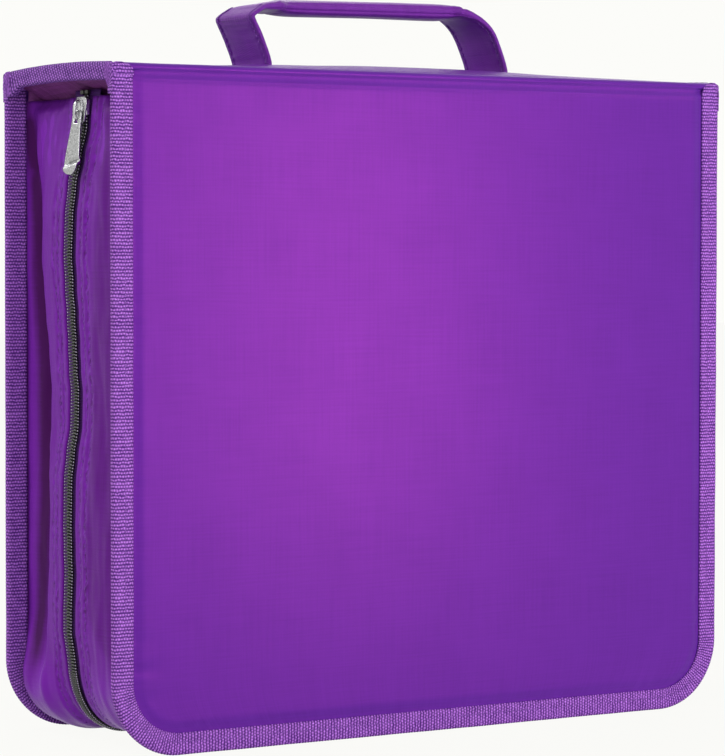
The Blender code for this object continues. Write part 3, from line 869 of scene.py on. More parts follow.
class Profile:
    """A section drawn through points, read by how far along it one is."""

    def __init__(self, points: Sequence[tuple[float, float]]) -> None:
        """Measures the section.

        Args:
            points: The section's corners in order.
        """
        self.points = [Vector(point) for point in points]
        self.marks = [0.0]
        for first, second in zip(self.points, self.points[1:]):
            self.marks.append(self.marks[-1] + (second - first).length)

    @property
    def length(self) -> float:
        """The section's length."""
        return self.marks[-1]

    def point(self, distance: float) -> Vector:
        """The point at a distance along the section.

        Args:
            distance: How far along it.

        Returns:
            The point.
        """
        distance = max(0.0, min(self.length, distance))
        for i in range(1, len(self.marks)):
            if distance <= self.marks[i]:
                share = (distance - self.marks[i - 1]) / (self.marks[i] - self.marks[i - 1])
                return self.points[i - 1].lerp(self.points[i], share)
        return self.points[-1]

    def normal(self, distance: float, reach: float = 0.35) -> Vector:
        """The way to the left of the section at a distance along it."""
        run = self.point(distance + reach) - self.point(distance - reach)
        return Vector((-run.y, run.x)).normalized()


# Sizes


@dataclass(frozen=True)
class CaseSizes:
    """Main sizes of the case, in millimetres."""

    half_w: float
    half_d: float
    cover_top: float
    cover_t: float
    gusset_top: float
    fold_y: float
    fold_z: float
    corner: float = 33.0
    dome_middle: float = 5.2
    dome_end: float = 1.5
    dome_shift: float = 12.0
    binding_w: float = 10.0

    @classmethod
    def from_frame(cls) -> "CaseSizes":
        """Reads the sizes that the frame gives.

        Returns:
            The sizes.
        """
        low, high = node_box("front_binding")
        fold = frame["joints"][0]["pos_m"]
        return cls(
            half_w=high.x,
            half_d=-low.y,
            cover_top=high.z,
            cover_t=high.y - low.y,
            gusset_top=node_box("front_gusset")[1].z,
            fold_y=-fold[1] / MM,
            fold_z=fold[2] / MM,
        )

    @property
    def fold_r(self) -> float:
        """Radius of the round fold between the spine and a cover."""
        return self.half_d - self.fold_y

    @property
    def height(self) -> float:
        """Height of the folds' tops."""
        return self.fold_z + self.fold_r

    def dome(self, x: float, y: float) -> float:
        """How far the spine's cloth rises over its folds.

        Args:
            x: Where along the spine.
            y: Where across it.

        Returns:
            The rise.
        """
        along = max(-1.0, min(1.0, (x - self.dome_shift) / self.half_w))
        swell = (self.dome_middle - self.dome_end) * math.cos(along * math.pi / 2) ** 2
        return (self.dome_end + swell) * (1 - min(1.0, (y / self.fold_y) ** 2))


@dataclass(frozen=True)
class RoundPath:
    """The three sewn sides of the case, from the left top down, along the floor and up again."""

    half_w: float
    corner: float
    top: float

    @property
    def side(self) -> float:
        """Length of an upright side."""
        return self.top - self.corner

    @property
    def arc(self) -> float:
        """Length of a corner."""
        return self.corner * math.pi / 2

    @property
    def length(self) -> float:
        """The whole length."""
        return 2 * (self.side + self.arc + self.half_w - self.corner)

    def station(self, distance: float) -> tuple[Vector, Vector]:
        """The point on the edge at a distance, and the way out of the case there.

        Args:
            distance: How far along the edge.

        Returns:
            The point and the way out.
        """
        if distance > self.length / 2:
            point, out = self.station(self.length - distance)
            return Vector((-point.x, 0, point.z)), Vector((-out.x, 0, out.z))
        if distance <= self.side:
            return Vector((-self.half_w, 0, self.top - distance)), Vector((-1, 0, 0))
        past = distance - self.side
        if past <= self.arc:
            turn = math.pi + past / self.corner
            out = Vector((math.cos(turn), 0, math.sin(turn)))
            centre = Vector((self.corner - self.half_w, 0, self.corner))
            return centre + self.corner * out, out
        return Vector((self.corner - self.half_w + past - self.arc, 0, 0)), Vector((0, 0, -1))

    def inboard(self, distance: float, inset: float, y: float) -> Vector:
        """The point that lies inset from the edge at a distance, at depth y."""
        edge, out = self.station(distance)
        return edge - inset * out + Vector((0, y, 0))


@dataclass(frozen=True)
class ZipLine:
    """Where the middle of the chain runs, with the soft sway of real cloth."""

    top_z: float = 292.0
    low_z: float = 60.0
    top_inset: float = 12.3
    low_inset: float = 6.5
    top_y: float = -7.3
    low_y: float = -1.0
    corner_pull: float = 2.8
    sway: tuple = (
        (292, 0.0), (276, 0.2), (262, 2.4), (250, 4.1), (236, 5.0), (220, 5.0), (205, 3.9),
        (192, 2.7), (178, 1.6), (168, 0.9), (157, -0.2), (143, -0.4), (130, 0.9), (119, 1.6),
        (100, 1.3), (87, 0.7), (76, 0.0), (60, 0.0),
    )

    def share(self, z: float) -> float:
        """How far up the slanting stretch a height is."""
        return max(0.0, min(1.0, (z - self.low_z) / (self.top_z - self.low_z)))

    def inset(self, z: float) -> float:
        """How far the chain lies inside the edge.

        Args:
            z: Height.

        Returns:
            The inset.
        """
        straight = self.low_inset + (self.top_inset - self.low_inset) * self.share(z)
        pulled = self.corner_pull * math.sin(math.pi * (50 - z) / 50) if 0 < z < 50 else 0.0
        return straight - 0.62 * along_keys(self.sway, z) + pulled

    def y(self, z: float) -> float:
        """The chain's depth."""
        straight = self.low_y + (self.top_y - self.low_y) * self.share(z)
        return straight + along_keys(self.sway, z)


# The covers


def rounded_reach(half: float, round_r: float, up: float) -> float:
    """Half the width of a sheet whose lower corners are round.

    Args:
        half: Half its full width.
        round_r: Radius of its corners.
        up: Height over its lower edge.

    Returns:
        Half its width there.
    """
    lift = max(0.0, 1 - up / round_r)
    return half - round_r * (1 - math.sqrt(max(0.0, 1 - lift * lift)))


@dataclass
class Cover:
    """One cover: its cloth, edge tape, half of the gusset, half of the zip, and its lining."""

    name: str
    side: int
    sizes: CaseSizes
    line: ZipLine
    face_top_rows: float = 7.0
    face_top_share: float = 0.14
    tape_relief: float = 0.16
    groove: float = 6.1
    groove_half: float = 0.6
    groove_depth: float = 0.28
    rib_steps: int = 4
    stitch_pitch: float = 3.1
    pucker_off: float = 4.7
    hem_share: float = 0.06
    hem_inset: float = 4.0
    hem_depth: float = 2.3
    wall_inset: float = 10.6
    lap_share: float = 0.86
    lap: float = 6.0
    crease_depth: float = 6.8
    gusset_width: float = 56.0
    zip_tape_w: float = 11.5
    coil_pitch: float = 1.4
    coil_margin: float = 2.3
    wire_r: float = 0.36
    crease: tuple = (
        (290, 6.0), (275, 9.0), (230, 18.0), (154, 27.0), (100, 30.0), (42, 26.0), (10, 22.0)
    )
    shade: tuple = ((290, 28.0), (150, 36.0), (65, 38.0), (29, 16.0), (0, 10.0))

    @property
    def swell(self) -> float:
        """How far the gusset stands out along the case's foot."""
        return 8.2 if self.side > 0 else 1.6

    @property
    def body(self) -> str:
        """The CAD body that the cover rides on."""
        return self.name + "_cover"

    @property
    def facing(self) -> Vector:
        """The way out of the cover's broad face."""
        return Vector((0, self.side, 0))

    def y(self, depth: float) -> float:
        """Where a layer lies that is so deep inside the cover's outer face."""
        return self.side * (self.sizes.half_d - depth)

    def cloth(self) -> None:
        """The cover's face: taut over its board, puckered along the sewn edge."""
        sizes = self.sizes
        half, low = sizes.half_w - self.hem_inset, self.hem_inset
        top = sizes.fold_z
        round_r = sizes.corner - self.hem_inset
        fine, fine_share = self.face_top_rows, self.face_top_share

        def level(share: float) -> float:
            """Finds a row's height; the rows lie closer below the fold.

            Args:
                share: Share up the cover.

            Returns:
                The height.
            """
            rest = 1 - fine_share
            if share > rest:
                return top - fine * (1 - share) / fine_share
            spread = 0.5 - 0.5 * math.cos(math.pi * share / rest)
            return low + (top - fine - low) * (0.75 * share / rest + 0.25 * spread)

        def place(u: float, v: float) -> Vector:
            """Places a point of the taut face.

            Args:
                u: Share along the piece.
                v: Share across it.

            Returns:
                The point in the case.
            """
            z = level(v)
            t = 2 * u - 1
            x = rounded_reach(half, round_r, z - low) * t * (1 + 0.25 * (1 - t * t))
            return Vector((x, self.y(self.face_depth(x, z)), z))

        bm = shaped_grid(170, 190, place, (2 * half, top - low), self.facing)
        piece = make_piece(self.name + "_cloth", bm, NYLON, CLOTH_T)
        settle(piece, self.body, "purple_nylon", self.name + "_fabric")

    def face_depth(self, x: float, z: float) -> float:
        """How deep the cloth's outer face lies behind the tape's.

        Args:
            x: Where along the cover.
            z: Height.

        Returns:
            The depth.
        """
        sizes = self.sizes
        across = sizes.half_w - abs(x)
        inset = min(across, z)
        if across < sizes.corner and z < sizes.corner:
            gap = Vector((sizes.corner - across, sizes.corner - z))
            inset = sizes.corner - gap.length
        raised = ease((inset - 10.5) / 4.5)
        depth = 1.1 - 0.7 * raised
        rolled = sizes.fold_z - z
        depth -= 0.16 * hump(rolled, 5.0, 1.3) * raised
        depth += 0.45 * hump(rolled, 2.3, 2.6) - 0.38 * ease(1 - rolled / 1.6)
        edge = max(0.0, inset - 10.0)
        near = math.exp(-edge / 5.0) * ease(edge / 1.5)
        run = z if across < z else x
        pucker = wrinkle(run * 0.22, edge * 0.03, 3.0 + self.side) * 0.34
        if across < z:
            pucker *= 1.0 + 1.6 * hump(z, 38.0, 34.0)
        pucker += wrinkle(run * 0.55, edge * 0.06, 9.0) * 0.18
        slow = wrinkle(x * 0.012, z * 0.014, 5.0 + self.side) * 0.16
        crown = 0.25 * math.cos(math.pi * x / (2 * sizes.half_w))
        crown *= math.sin(math.pi * z / sizes.cover_top)
        return max(0.05, depth + near * pucker + slow * raised - crown * raised)

    def tape_profile(self) -> Profile:
        """The section of the folded edge tape, from the outer leg round to the inner one.

        Returns:
            The section, as (inset, depth) points.
        """
        w, t = self.sizes.binding_w, self.sizes.cover_t
        sewn, half = self.groove, self.groove_half
        return Profile(
            [
                (w, 0.45), (w - 0.25, 0.12), (w - 0.8, 0.0), (sewn + half, 0.0),
                (sewn, self.groove_depth), (sewn - half, 0.0), (1.5, 0.0), (0.8, 0.12),
                (0.25, 0.55), (0, 1.2), (0, t - 1.2), (0.25, t - 0.55), (0.8, t - 0.12),
                (1.5, t), (w, t),
            ]
        )

    def tape(self) -> None:
        """The ribbed edge tape with its row of stitches."""
        sizes = self.sizes
        path = RoundPath(sizes.half_w, sizes.corner, sizes.cover_top)
        profile = self.tape_profile()
        pitch = TAPE.pitch

        def place(u: float, v: float, relief: float = self.tape_relief) -> Vector:
            """Places a point of the tape.

            Args:
                u: Share along the piece.
                v: Share across it.
                relief: How deep the gaps between the ribs are.

            Returns:
                The point in the case.
            """
            along = u * path.length
            down = v * profile.length
            point, normal = profile.point(down), profile.normal(down)
            swell = relief * (0.5 * math.cos(TURN * along / pitch) - 0.5)
            swell += 0.12 * wrinkle(along * 0.05, down * 0.15, 2.0 + self.side)
            point = point + normal * swell
            return path.inboard(along, point.x, self.y(point.y))

        ribs = round(path.length / pitch)
        bm = shaped_grid(ribs * self.rib_steps, 18, place, (path.length, profile.length))
        bm.faces.ensure_lookup_table()
        first = bm.faces[ribs * 2]
        if first.normal.dot(self.facing) < 0:
            bmesh.ops.reverse_faces(bm, faces=bm.faces)
        piece = make_piece(self.name + "_edge_tape", bm, TAPE, TAPE_T)
        settle(piece, self.body, "binding_tape", self.name + "_binding")
        share = (sizes.binding_w - self.groove + 0.4) / profile.length
        spots = self.spots(path.length, share, 4.0)
        places = stitch_places(lambda u, v: place(u, v, 0.0), spots, lambda _: self.facing)
        stitches = make_piece(
            self.name + "_edge_stitches", repeat(stitch_shape(*EDGE_STITCH), places), THREAD
        )
        settle(stitches, self.body, "binding_tape")

    def spots(self, length: float, share: float, margin: float) -> list[tuple[float, float]]:
        """Evenly spaced shares along a row of stitches.

        Args:
            length: The row's length.
            share: Its share across the cloth.
            margin: What stays free at each end.

        Returns:
            Shares along and across.
        """
        count = int((length - 2 * margin) / self.stitch_pitch)
        return [((margin + (i + 0.5) * self.stitch_pitch) / length, share) for i in range(count)]

    def split(self) -> float:
        """How far the gusset's folded edge lies from the middle of the chain."""
        return 5.3 if self.side < 0 else 7.4

    @property
    def seams(self) -> tuple[float, float]:
        """How far the two rows of stitches lie from the gusset's folded edge."""
        return (4.4, 9.5) if self.side < 0 else (4.9, 8.4)

    def fold_depth(self, z: float) -> float:
        """How deep the gusset's folded edge lies below the cover's outer face."""
        return self.sizes.half_d - self.side * self.line.y(z) - self.split()

    def depth(self, z: float, share: float) -> float:
        """How deep a share of the gusset lies below the cover's outer face.

        Args:
            z: Height.
            share: 0 in the cover's edge, 1 at the fold beside the chain.

        Returns:
            The depth.
        """
        end = self.fold_depth(z)
        if share > self.lap_share:
            return end - self.lap * (1 - (share - self.lap_share) / (1 - self.lap_share))
        part = max(0.0, share - self.hem_share) / (self.lap_share - self.hem_share)
        return self.hem_depth + (end - self.lap - self.hem_depth) * part

    def gusset_point(self, path: RoundPath, along: float, share: float) -> Vector:
        """A point of the gusset.

        Args:
            path: The sewn edge that the gusset follows.
            along: How far along it.
            share: 0 in the cover's edge, 1 at the fold beside the chain.

        Returns:
            The point in the case.
        """
        z = path.station(along)[0].z
        seed = 11.0 if along < path.length / 2 else 31.0
        end_inset = self.line.inset(z) - 1.15
        v = self.depth(z, share)
        if share < self.hem_share:
            hem = share / self.hem_share
            inset, out = self.hem_inset + (self.wall_inset - self.hem_inset) * hem, 0.0
        elif share > self.lap_share:
            fold = (share - self.lap_share) / (1 - self.lap_share)
            inset = end_inset + 0.7 * ease((fold - 0.9) / 0.1)
            out = 0.15 * (1 - fold)
        else:
            part = (share - self.hem_share) / (self.lap_share - self.hem_share)
            inset = self.wall_inset + (end_inset - self.wall_inset) * ease(part)
            if self.side > 0:
                risen = max(0.0, min(1.0, (z - 16.0) / 272.0))
                deep = self.crease_depth * math.sin(math.pi * risen) ** 0.6
                crease = along_keys(self.crease, z)
                fall = ease((v - 0.52 * crease) / (0.46 * crease))
                climb = ease((v - crease) / 5.0)
                inset += deep * (fall - climb) - 0.2 * deep * hump(v, 0.36 * crease, 0.3 * crease)
            swollen = self.swell * hump(z, 12.0, 46.0)
            inset -= swollen * math.sin(math.pi * part ** 0.65) ** 0.8
            out = ease(part / 0.15) * ease((1 - part) / 0.1 + 0.25)
        folds = wrinkle(along * 0.022, v * 0.13, seed + self.side) * 1.3
        folds += wrinkle(along * 0.06, v * 0.3, seed + 4) * 0.4
        top = math.exp(-(path.top - z) / 26.0) if z > 120 else 0.0
        folds += top * wrinkle(along * 0.09, v * 0.2, seed + 7) * 1.6
        off = self.fold_depth(z) - v
        seam = max(hump(off, self.pucker_off, 2.4), hump(off, self.seams[1], 2.6))
        pucker = seam * (0.62 * wrinkle(along * 0.42, off * 0.25, seed + 2) - 0.42)
        pucker += 0.3 * wrinkle(along * 0.05, off * 1.2, seed + 5) * hump(off, 7.0, 7.0)
        inset -= folds * out * 0.7 + pucker
        if z > 120:
            near = ease((share - 0.05) / 0.2) * (1 - 0.9 * ease((share - 0.62) / 0.2))
            inset += 4.5 * ease(1 - (path.top - z) / 9.0) ** 2 * near
        return path.inboard(along, inset, self.y(v))

    def sunk(self, path: RoundPath, along: float, share: float) -> float:
        """How much painted shade a point of the gusset gets: next to the cover's edge, in the
        crease and along the puckers, with painted light near the foot, under the top and on the
        roll.

        Args:
            path: The sewn edge that the gusset follows.
            along: How far along it.
            share: 0 in the cover's edge, 1 at the fold beside the chain.

        Returns:
            The painted shade, below 0 where painted light makes the point lighter.
        """
        z = path.station(along)[0].z
        v = self.depth(z, share)
        off = self.fold_depth(z) - v
        rows = max(hump(off, self.pucker_off, 2.6), hump(off, self.seams[1], 2.6))
        # Painted light and shade in streaks along the rows of stitches.
        pucker_light_and_shade = 1.1 * wrinkle(along * 0.35, off * 1.4, 15.0)
        pucker_light_and_shade += 0.5 * wrinkle(along * 0.7, off * 0.6, 16.0)
        # Painted shade close to the cover's edge, plus the streaks.
        depth = 0.5 * hump(v, 3.4, 3.0) + rows * pucker_light_and_shade
        # Painted light over the wall near the foot.
        foot = ease((44.0 - z) / 40.0)
        depth -= 0.7 * foot * hump(v, 28.0, 24.0)
        # Painted light in pale patches just under the top.
        top = ease((path.top - 4.0 - z) / 6.0) * ease((z - path.top + 40.0) / 24.0)
        pale = wrinkle(along * 0.07 + v * 0.12, v * 0.17 - along * 0.05, 19.0)
        depth -= 0.75 * top * ease((pale - 0.18) / 0.16)
        # Front half: painted shade in a band near the front binding, out to the shade line.
        if self.side < 0:
            return depth + 0.3 * ease((along_keys(self.shade, z) - v) / 7.0 + 0.5)
        # Back half: painted shade in the crease, and painted light on the roll beside the back
        # binding.
        crease = along_keys(self.crease, z)
        wander = 1.0 + 0.12 * wrinkle(z * 0.02, 0.0, 17.0)
        crease_painted_shade = 0.95 * hump(v, 0.71 * crease * wander, 3.2 + 0.14 * crease)
        roll_painted_light = 0.25 * hump(v, 0.3 * crease, 0.26 * crease)
        return depth + (crease_painted_shade - roll_painted_light) * ease((z - 18.0) / 30.0) * ease((286.0 - z) / 8.0)

    def outward(self, point: Vector) -> Vector:
        """The way out of the gusset at a point."""
        return Vector((point.x, 0, point.z - self.sizes.half_w * 0.6))

    def gusset(self) -> None:
        """The cloth wall between the cover and the chain, with its rows of stitches."""
        path = RoundPath(self.sizes.half_w, self.sizes.corner, self.sizes.gusset_top)
        size = (path.length, self.gusset_width)

        def place(u: float, v: float) -> Vector:
            """Places a point of the cloth wall."""
            return self.gusset_point(path, u * path.length, v)

        bm = shaped_grid(560, 56, place, size, Vector((0, 0, -1)))
        # The second map carries each point's painted light and shade, from sunk().
        folds = bm.loops.layers.uv.new(PAINTED_SHADE_MAP)
        surface = bm.loops.layers.uv[SURFACE_MAP]
        for loop in (loop for face in bm.faces for loop in face.loops):
            along, share = loop[surface].uv.x, loop[surface].uv.y / self.gusset_width
            loop[folds].uv = (self.sunk(path, along, share), 0.0)
        piece = make_piece(self.name + "_gusset_cloth", bm, GUSSET_PAINTED_SHADE, CLOTH_T)
        settle(piece, self.body, "gusset_nylon", self.name + "_gusset")
        places = []
        for off in self.seams:
            places += stitch_places(place, self.seam_spots(path, off), self.outward)
        stitches = make_piece(
            self.name + "_gusset_stitches", repeat(stitch_shape(*GUSSET_STITCH), places), THREAD
        )
        settle(stitches, self.body, "gusset_nylon")

    def seam_spots(self, path: RoundPath, off: float) -> list[tuple[float, float]]:
        """Where a row of stitches lies that is off from the folded edge.

        Args:
            path: The sewn edge that the gusset follows.
            off: How far the row lies from the folded edge.

        Returns:
            Shares along and across the gusset.
        """
        spots = []
        for u, _ in self.spots(path.length, 0.0, 2.0):
            z = path.station(u * path.length)[0].z
            run = self.fold_depth(z) - self.lap - self.hem_depth
            if off < self.lap:
                share = 1 - (1 - self.lap_share) * off / self.lap
            else:
                wall = self.lap_share - self.hem_share
                share = self.hem_share + wall * (1 - (off - self.lap) / run)
            spots.append((u, share))
        return spots

    def zip_half(self) -> None:
        """Half of the zip: its tape, its row of coil and the thread that holds the coil."""
        sizes = self.sizes
        path = RoundPath(sizes.half_w, sizes.corner, self.line.top_z)

        def on_tape(along: float, off: float, n: float) -> Vector:
            """The point that lies off from the chain's middle and n out of it."""
            z = path.station(along)[0].z
            return path.inboard(along, self.line.inset(z) - n, self.line.y(z) + self.side * off)

        def place(u: float, v: float) -> Vector:
            """Places a point of the zip's tape."""
            return on_tape(u * path.length, 0.5 + self.zip_tape_w * v, 0.25)

        bm = shaped_grid(420, 8, place, (path.length, self.zip_tape_w), Vector((0, 0, -1)))
        piece = make_piece(self.name + "_zip_cloth", bm, ZIP_TAPE, THIN_T)
        settle(piece, self.body, "zip_tape", self.name + "_zip_tape")

        pitch = self.coil_pitch
        count = int((path.length - 2 * self.coil_margin) / pitch)
        start = self.coil_margin + (0.5 * pitch if self.side > 0 else 0.0)
        loops = []
        threads = []
        for i in range(count):
            along = start + i * pitch
            middle = on_tape(along, 0.0, 0.0)
            ahead = on_tape(along + 0.6, 0.0, 0.0) - on_tape(along - 0.6, 0.0, 0.0)
            out = path.station(along)[1]
            loops.append(oriented(middle, ahead, out))
            threads.append(oriented(on_tape(along + 0.35 * pitch, 3.45, 1.95), ahead, out))
        bm = repeat(self.coil_loop(), loops)
        piece = make_piece(self.name + "_coil_row", bm, COIL)
        settle(piece, self.body, "zip_coil", self.name + "_zip_coil")
        piece = make_piece(
            self.name + "_coil_threads", repeat(stitch_shape(*COIL_STITCH), threads), COIL_THREAD
        )
        settle(piece, self.body, "zip_coil")

    def coil_loop(self) -> bmesh.types.BMesh:
        """One turn of the coil: a head past the middle, two legs and a bend at the tape.

        Returns:
            The turn, drawn round the middle of the chain.
        """
        sign = self.hand
        line = [
            (-0.1, -0.55, 1.55), (0.15, 0.2, 2.02), (0.35, 1.7, 2.05), (0.5, 2.7, 1.85),
            (0.45, 3.1, 1.35), (0.2, 2.6, 0.9), (-0.05, 1.2, 0.85), (-0.2, -0.2, 1.0),
        ]
        points = [Vector((x, sign * off, n)) for x, off, n in line]
        return tube(points, self.wire_r, 5, closed=True)

    @property
    def hand(self) -> int:
        """Which side of the chain this half lies on, seen along the path from outside."""
        return -self.side

    def lining(self) -> None:
        """The black cloth on the inside of the cover."""
        low, high = node_box(self.name + "_lining")
        outer = max(abs(low.y), abs(high.y))
        thick = high.y - low.y
        round_r = self.sizes.corner - (self.sizes.half_w - high.x)

        def place(u: float, v: float) -> Vector:
            """Places a point of the lining.

            Args:
                u: Share along the piece.
                v: Share across it.

            Returns:
                The point in the case.
            """
            z = low.z + (high.z - low.z) * (0.6 * v + 0.4 * (0.5 - 0.5 * math.cos(math.pi * v)))
            x = rounded_reach(high.x, round_r, z - low.z) * (2 * u - 1)
            sag = 0.12 * wrinkle(x * 0.03, z * 0.03, 21.0 + self.side)
            return Vector((x, self.side * (outer - thick - abs(sag)), z))

        bm = shaped_grid(60, 60, place, (2 * high.x, high.z - low.z), -self.facing)
        piece = make_piece(self.name + "_lining_cloth", bm, LINING, thick * 0.8)
        settle(piece, self.body, "black_lining", self.name + "_lining")

    def build(self) -> None:
        """Builds the cover's pieces in order."""
        self.cloth()
        self.tape()
        self.gusset()
        self.zip_half()
        self.lining()


# The spine


@dataclass
class Spine:
    """The spine: its domed cloth, its folds, its hanging ends and what lies inside."""

    sizes: CaseSizes
    lip_drop: float = 8.0
    lip_depth: float = 3.7
    back_sweep: float = 3.6
    front_sweep: float = 2.4
    leg_x: float = 65.0
    padding_sunk: float = 1.2
    cloth_end: float = 0.6
    cloth_gap: float = 0.8
    lip_end: float = 4.6
    corner_start: float = 4.8
    corner_inner: float = 2.6
    turn_from: float = 0.25
    turn_to: float = 0.75
    fold_from_deg: float = -35.0
    fold_sweep_deg: float = 200.0
    ribs_in_corner: int = 14

    @property
    def over_fold(self) -> tuple[tuple[float, float], tuple[float, float]]:
        """Where the bend over a fold starts and ends, as (y, z) on the back cover's side."""
        sizes = self.sizes
        return (sizes.fold_y - 0.5, sizes.height), (sizes.half_d, sizes.fold_z - 0.5)

    def bend(
        self, piece: bpy.types.Object, cover: Cover, slot: str,
        start: tuple[float, float], end: tuple[float, float],
    ) -> None:
        """Bakes the piece's place into its mesh; the piece gets no body and does not bend.

        Args:
            piece: The piece.
            cover: The cover that it runs to.
            slot: What it is made of; not used.
            start: Where the spine's part ends, as (y, z) on the back cover's side; not used.
            end: Where the cover's part begins, in the same way; not used.
        """
        cover.body
        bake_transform(piece)

    def surface(self, x: float, y: float) -> Vector:
        """A point on the spine's outer face.

        Args:
            x: Where along the spine.
            y: Where across it.

        Returns:
            The point.
        """
        sizes = self.sizes
        uneven = wrinkle(x * 0.02, y * 0.04, 41.0) * 0.35 * (1 - (y / sizes.fold_y) ** 2)
        legs = hump(abs(x), self.leg_x, 26.0) * hump(y, 0.0, 34.0)
        return Vector((x, y, sizes.height - 0.05 + sizes.dome(x, y) + uneven + 0.5 * legs))

    def cloth(self) -> None:
        """The cloth over the spine between its two folds."""
        sizes = self.sizes
        half_x = sizes.half_w - self.cloth_end
        half_y = sizes.fold_y - self.cloth_gap

        def place(u: float, v: float) -> Vector:
            """Places a point of the domed cloth.

            Args:
                u: Share along the piece.
                v: Share across it.

            Returns:
                The point in the case.
            """
            x = half_x * (2 * u - 1)
            y = half_y * (2 * v - 1)
            point = self.surface(x, y)
            point.z -= 1.2 * (1 - ease((half_x - abs(x)) / 1.8))
            return point

        bm = shaped_grid(190, 60, place, (2 * half_x, 2 * half_y), Vector((0, 0, 1)))
        piece = make_piece("spine_cloth", bm, SPINE_NYLON, CLOTH_T)
        settle(piece, "spine", "purple_nylon", "spine_fabric")

    def fold(self, cover: Cover) -> None:
        """The cloth that rolls from the spine over its fold into a cover.

        Args:
            cover: The cover.
        """
        sizes = self.sizes
        side = cover.side
        radius = sizes.fold_r
        length = radius * math.pi * 1.1
        half_x = sizes.half_w - 0.15

        def place(u: float, v: float) -> Vector:
            """Places a point of the rolled cloth.

            Args:
                u: Share along the piece.
                v: Share across it.

            Returns:
                The point in the case.
            """
            x = half_x * (2 * u - 1)
            turn = math.radians(self.fold_from_deg + self.fold_sweep_deg * v)
            swell = 0.1 * wrinkle(x * 0.05, v * 1.5, 51.0 + side)
            r = radius + swell - 0.55 * (ease((v - 0.6) / 0.3) + ease((0.12 - v) / 0.12))
            past = max(0.0, (abs(x) - half_x + 3.0) / 3.0)
            r *= math.sqrt(max(0.06, 1 - past * past))
            y, z = sizes.fold_y + r * math.sin(turn), sizes.fold_z + r * math.cos(turn)
            return Vector((x, side * y, z))

        bm = shaped_grid(220, 26, place, (2 * half_x, length), Vector((0, side, 1)))
        piece = make_piece(f"{cover.name}_fold_cloth", bm, NYLON, THIN_T)
        self.bend(piece, cover, "purple_nylon", *self.over_fold)

    def lip_profile(self) -> Profile:
        """The section of the hanging end's tape, from the top of the spine down and under.

        Returns:
            The section, as (inset, height) points.
        """
        drop, depth = self.lip_drop, self.lip_depth
        return Profile(
            [
                (3.2, 0.35), (2.0, 0.35), (0.9, 0.1), (0.3, -0.45), (0.0, -1.4), (0.0, 0.9 - drop),
                (0.3, 0.25 - drop), (1.0, -drop), (depth - 1.0, -drop), (depth - 0.25, 0.3 - drop),
                (depth, 1.0 - drop), (depth, 2.6 - drop),
            ]
        )

    def lip(self, hand: int, word: str) -> None:
        """The bound end that hangs over the gusset, between the two corners.

        Args:
            hand: -1 for the left end, 1 for the right one.
            word: The end's name.
        """
        sizes = self.sizes
        profile = self.lip_profile()
        half_y = sizes.fold_y - self.lip_end

        def place(u: float, v: float) -> Vector:
            """Places a point of the end's tape.

            Args:
                u: Share along the piece.
                v: Share across it.

            Returns:
                The point in the case.
            """
            y = half_y * (2 * u - 1)
            down = v * profile.length
            point, normal = profile.point(down), profile.normal(down)
            rise = sizes.dome(hand * sizes.half_w, y)
            swell = 0.14 * (0.5 + 0.5 * math.cos(TURN * u * 2 * half_y / LIP_TAPE.pitch))
            swell = 0.1 + 0.1 * wrinkle(y * 0.08, down * 0.2, 61.0) - swell * 0.5
            point = point + normal * swell
            swept = self.back_sweep * ease((y - half_y + 11.0) / 11.0)
            swept *= ease((-2.0 - point.y) / (self.lip_drop - 2.6))
            z = sizes.height + point.y + rise - swept
            return Vector((hand * (sizes.half_w - point.x), y, z))

        bm = shaped_grid(220, 30, place, (2 * half_y, profile.length), Vector((hand, 0, 0)))
        piece = make_piece(f"lip_tape_{word}", bm, LIP_TAPE, TAPE_T)
        settle(piece, "spine", "binding_tape", f"spine_binding_{word}")

    def lip_corner(self, cover: Cover, hand: int, word: str) -> None:
        """Where the end's tape turns down into the cover's: its ribs fan round the corner.

        Args:
            cover: The cover.
            hand: -1 for the left end, 1 for the right one.
            word: The end's name.
        """
        sizes = self.sizes
        side = cover.side
        start_y = sizes.fold_y - self.corner_start
        inner = Vector((sizes.fold_y - self.corner_inner, sizes.height - self.lip_drop))
        outer_r = sizes.half_d - inner.x
        back = side > 0

        def edges(u: float) -> tuple[Vector, Vector]:
            """Finds the tape's two edges.

            Args:
                u: Share along the tape.

            Returns:
                The lower and the upper edge's point, as (y, z).
            """
            rise = sizes.dome(sizes.half_w, start_y)
            swept = self.back_sweep if back else self.front_sweep * ease(u / self.turn_from)
            lower = inner - Vector((0, swept))
            if u < self.turn_from:
                y = start_y + (inner.x - start_y) * u / self.turn_from
                here = rise * (1 - u)
                return Vector((y, lower.y + here)), Vector((y, sizes.height + here))
            if u < self.turn_to:
                done = (u - self.turn_from) / (self.turn_to - self.turn_from)
                turn = math.pi / 2 * done
                across, up = math.sin(turn), math.cos(turn)
                square = 1 / (abs(up) ** 3 + abs(across) ** 3) ** (1 / 3)
                out = Vector((outer_r * across, self.lip_drop * up)) * square
                here = rise * 0.75 * (1 - done)
                return lower + Vector((0, here)), inner + Vector((0, here)) + out
            past = 5.5 * (u - self.turn_to) / (1 - self.turn_to)
            high = Vector((sizes.half_d - 0.2, inner.y - past))
            return inner - Vector((0, max(past, swept))), high

        def place(u: float, v: float) -> Vector:
            """Places a point between the tape's edges.

            Args:
                u: Share along the piece.
                v: Share across it.

            Returns:
                The point in the case.
            """
            low, high = edges(u)
            point = high.lerp(low, v)
            proud = 0.5 * math.sin(math.pi * min(1.0, max(0.0, v))) ** 0.5
            proud *= 1 - 0.8 * ease((u - 0.7) / 0.3)
            rib = 0.06 * math.cos(TURN * u * self.ribs_in_corner)
            return Vector((hand * (sizes.half_w + proud + rib), side * point.x, point.y))

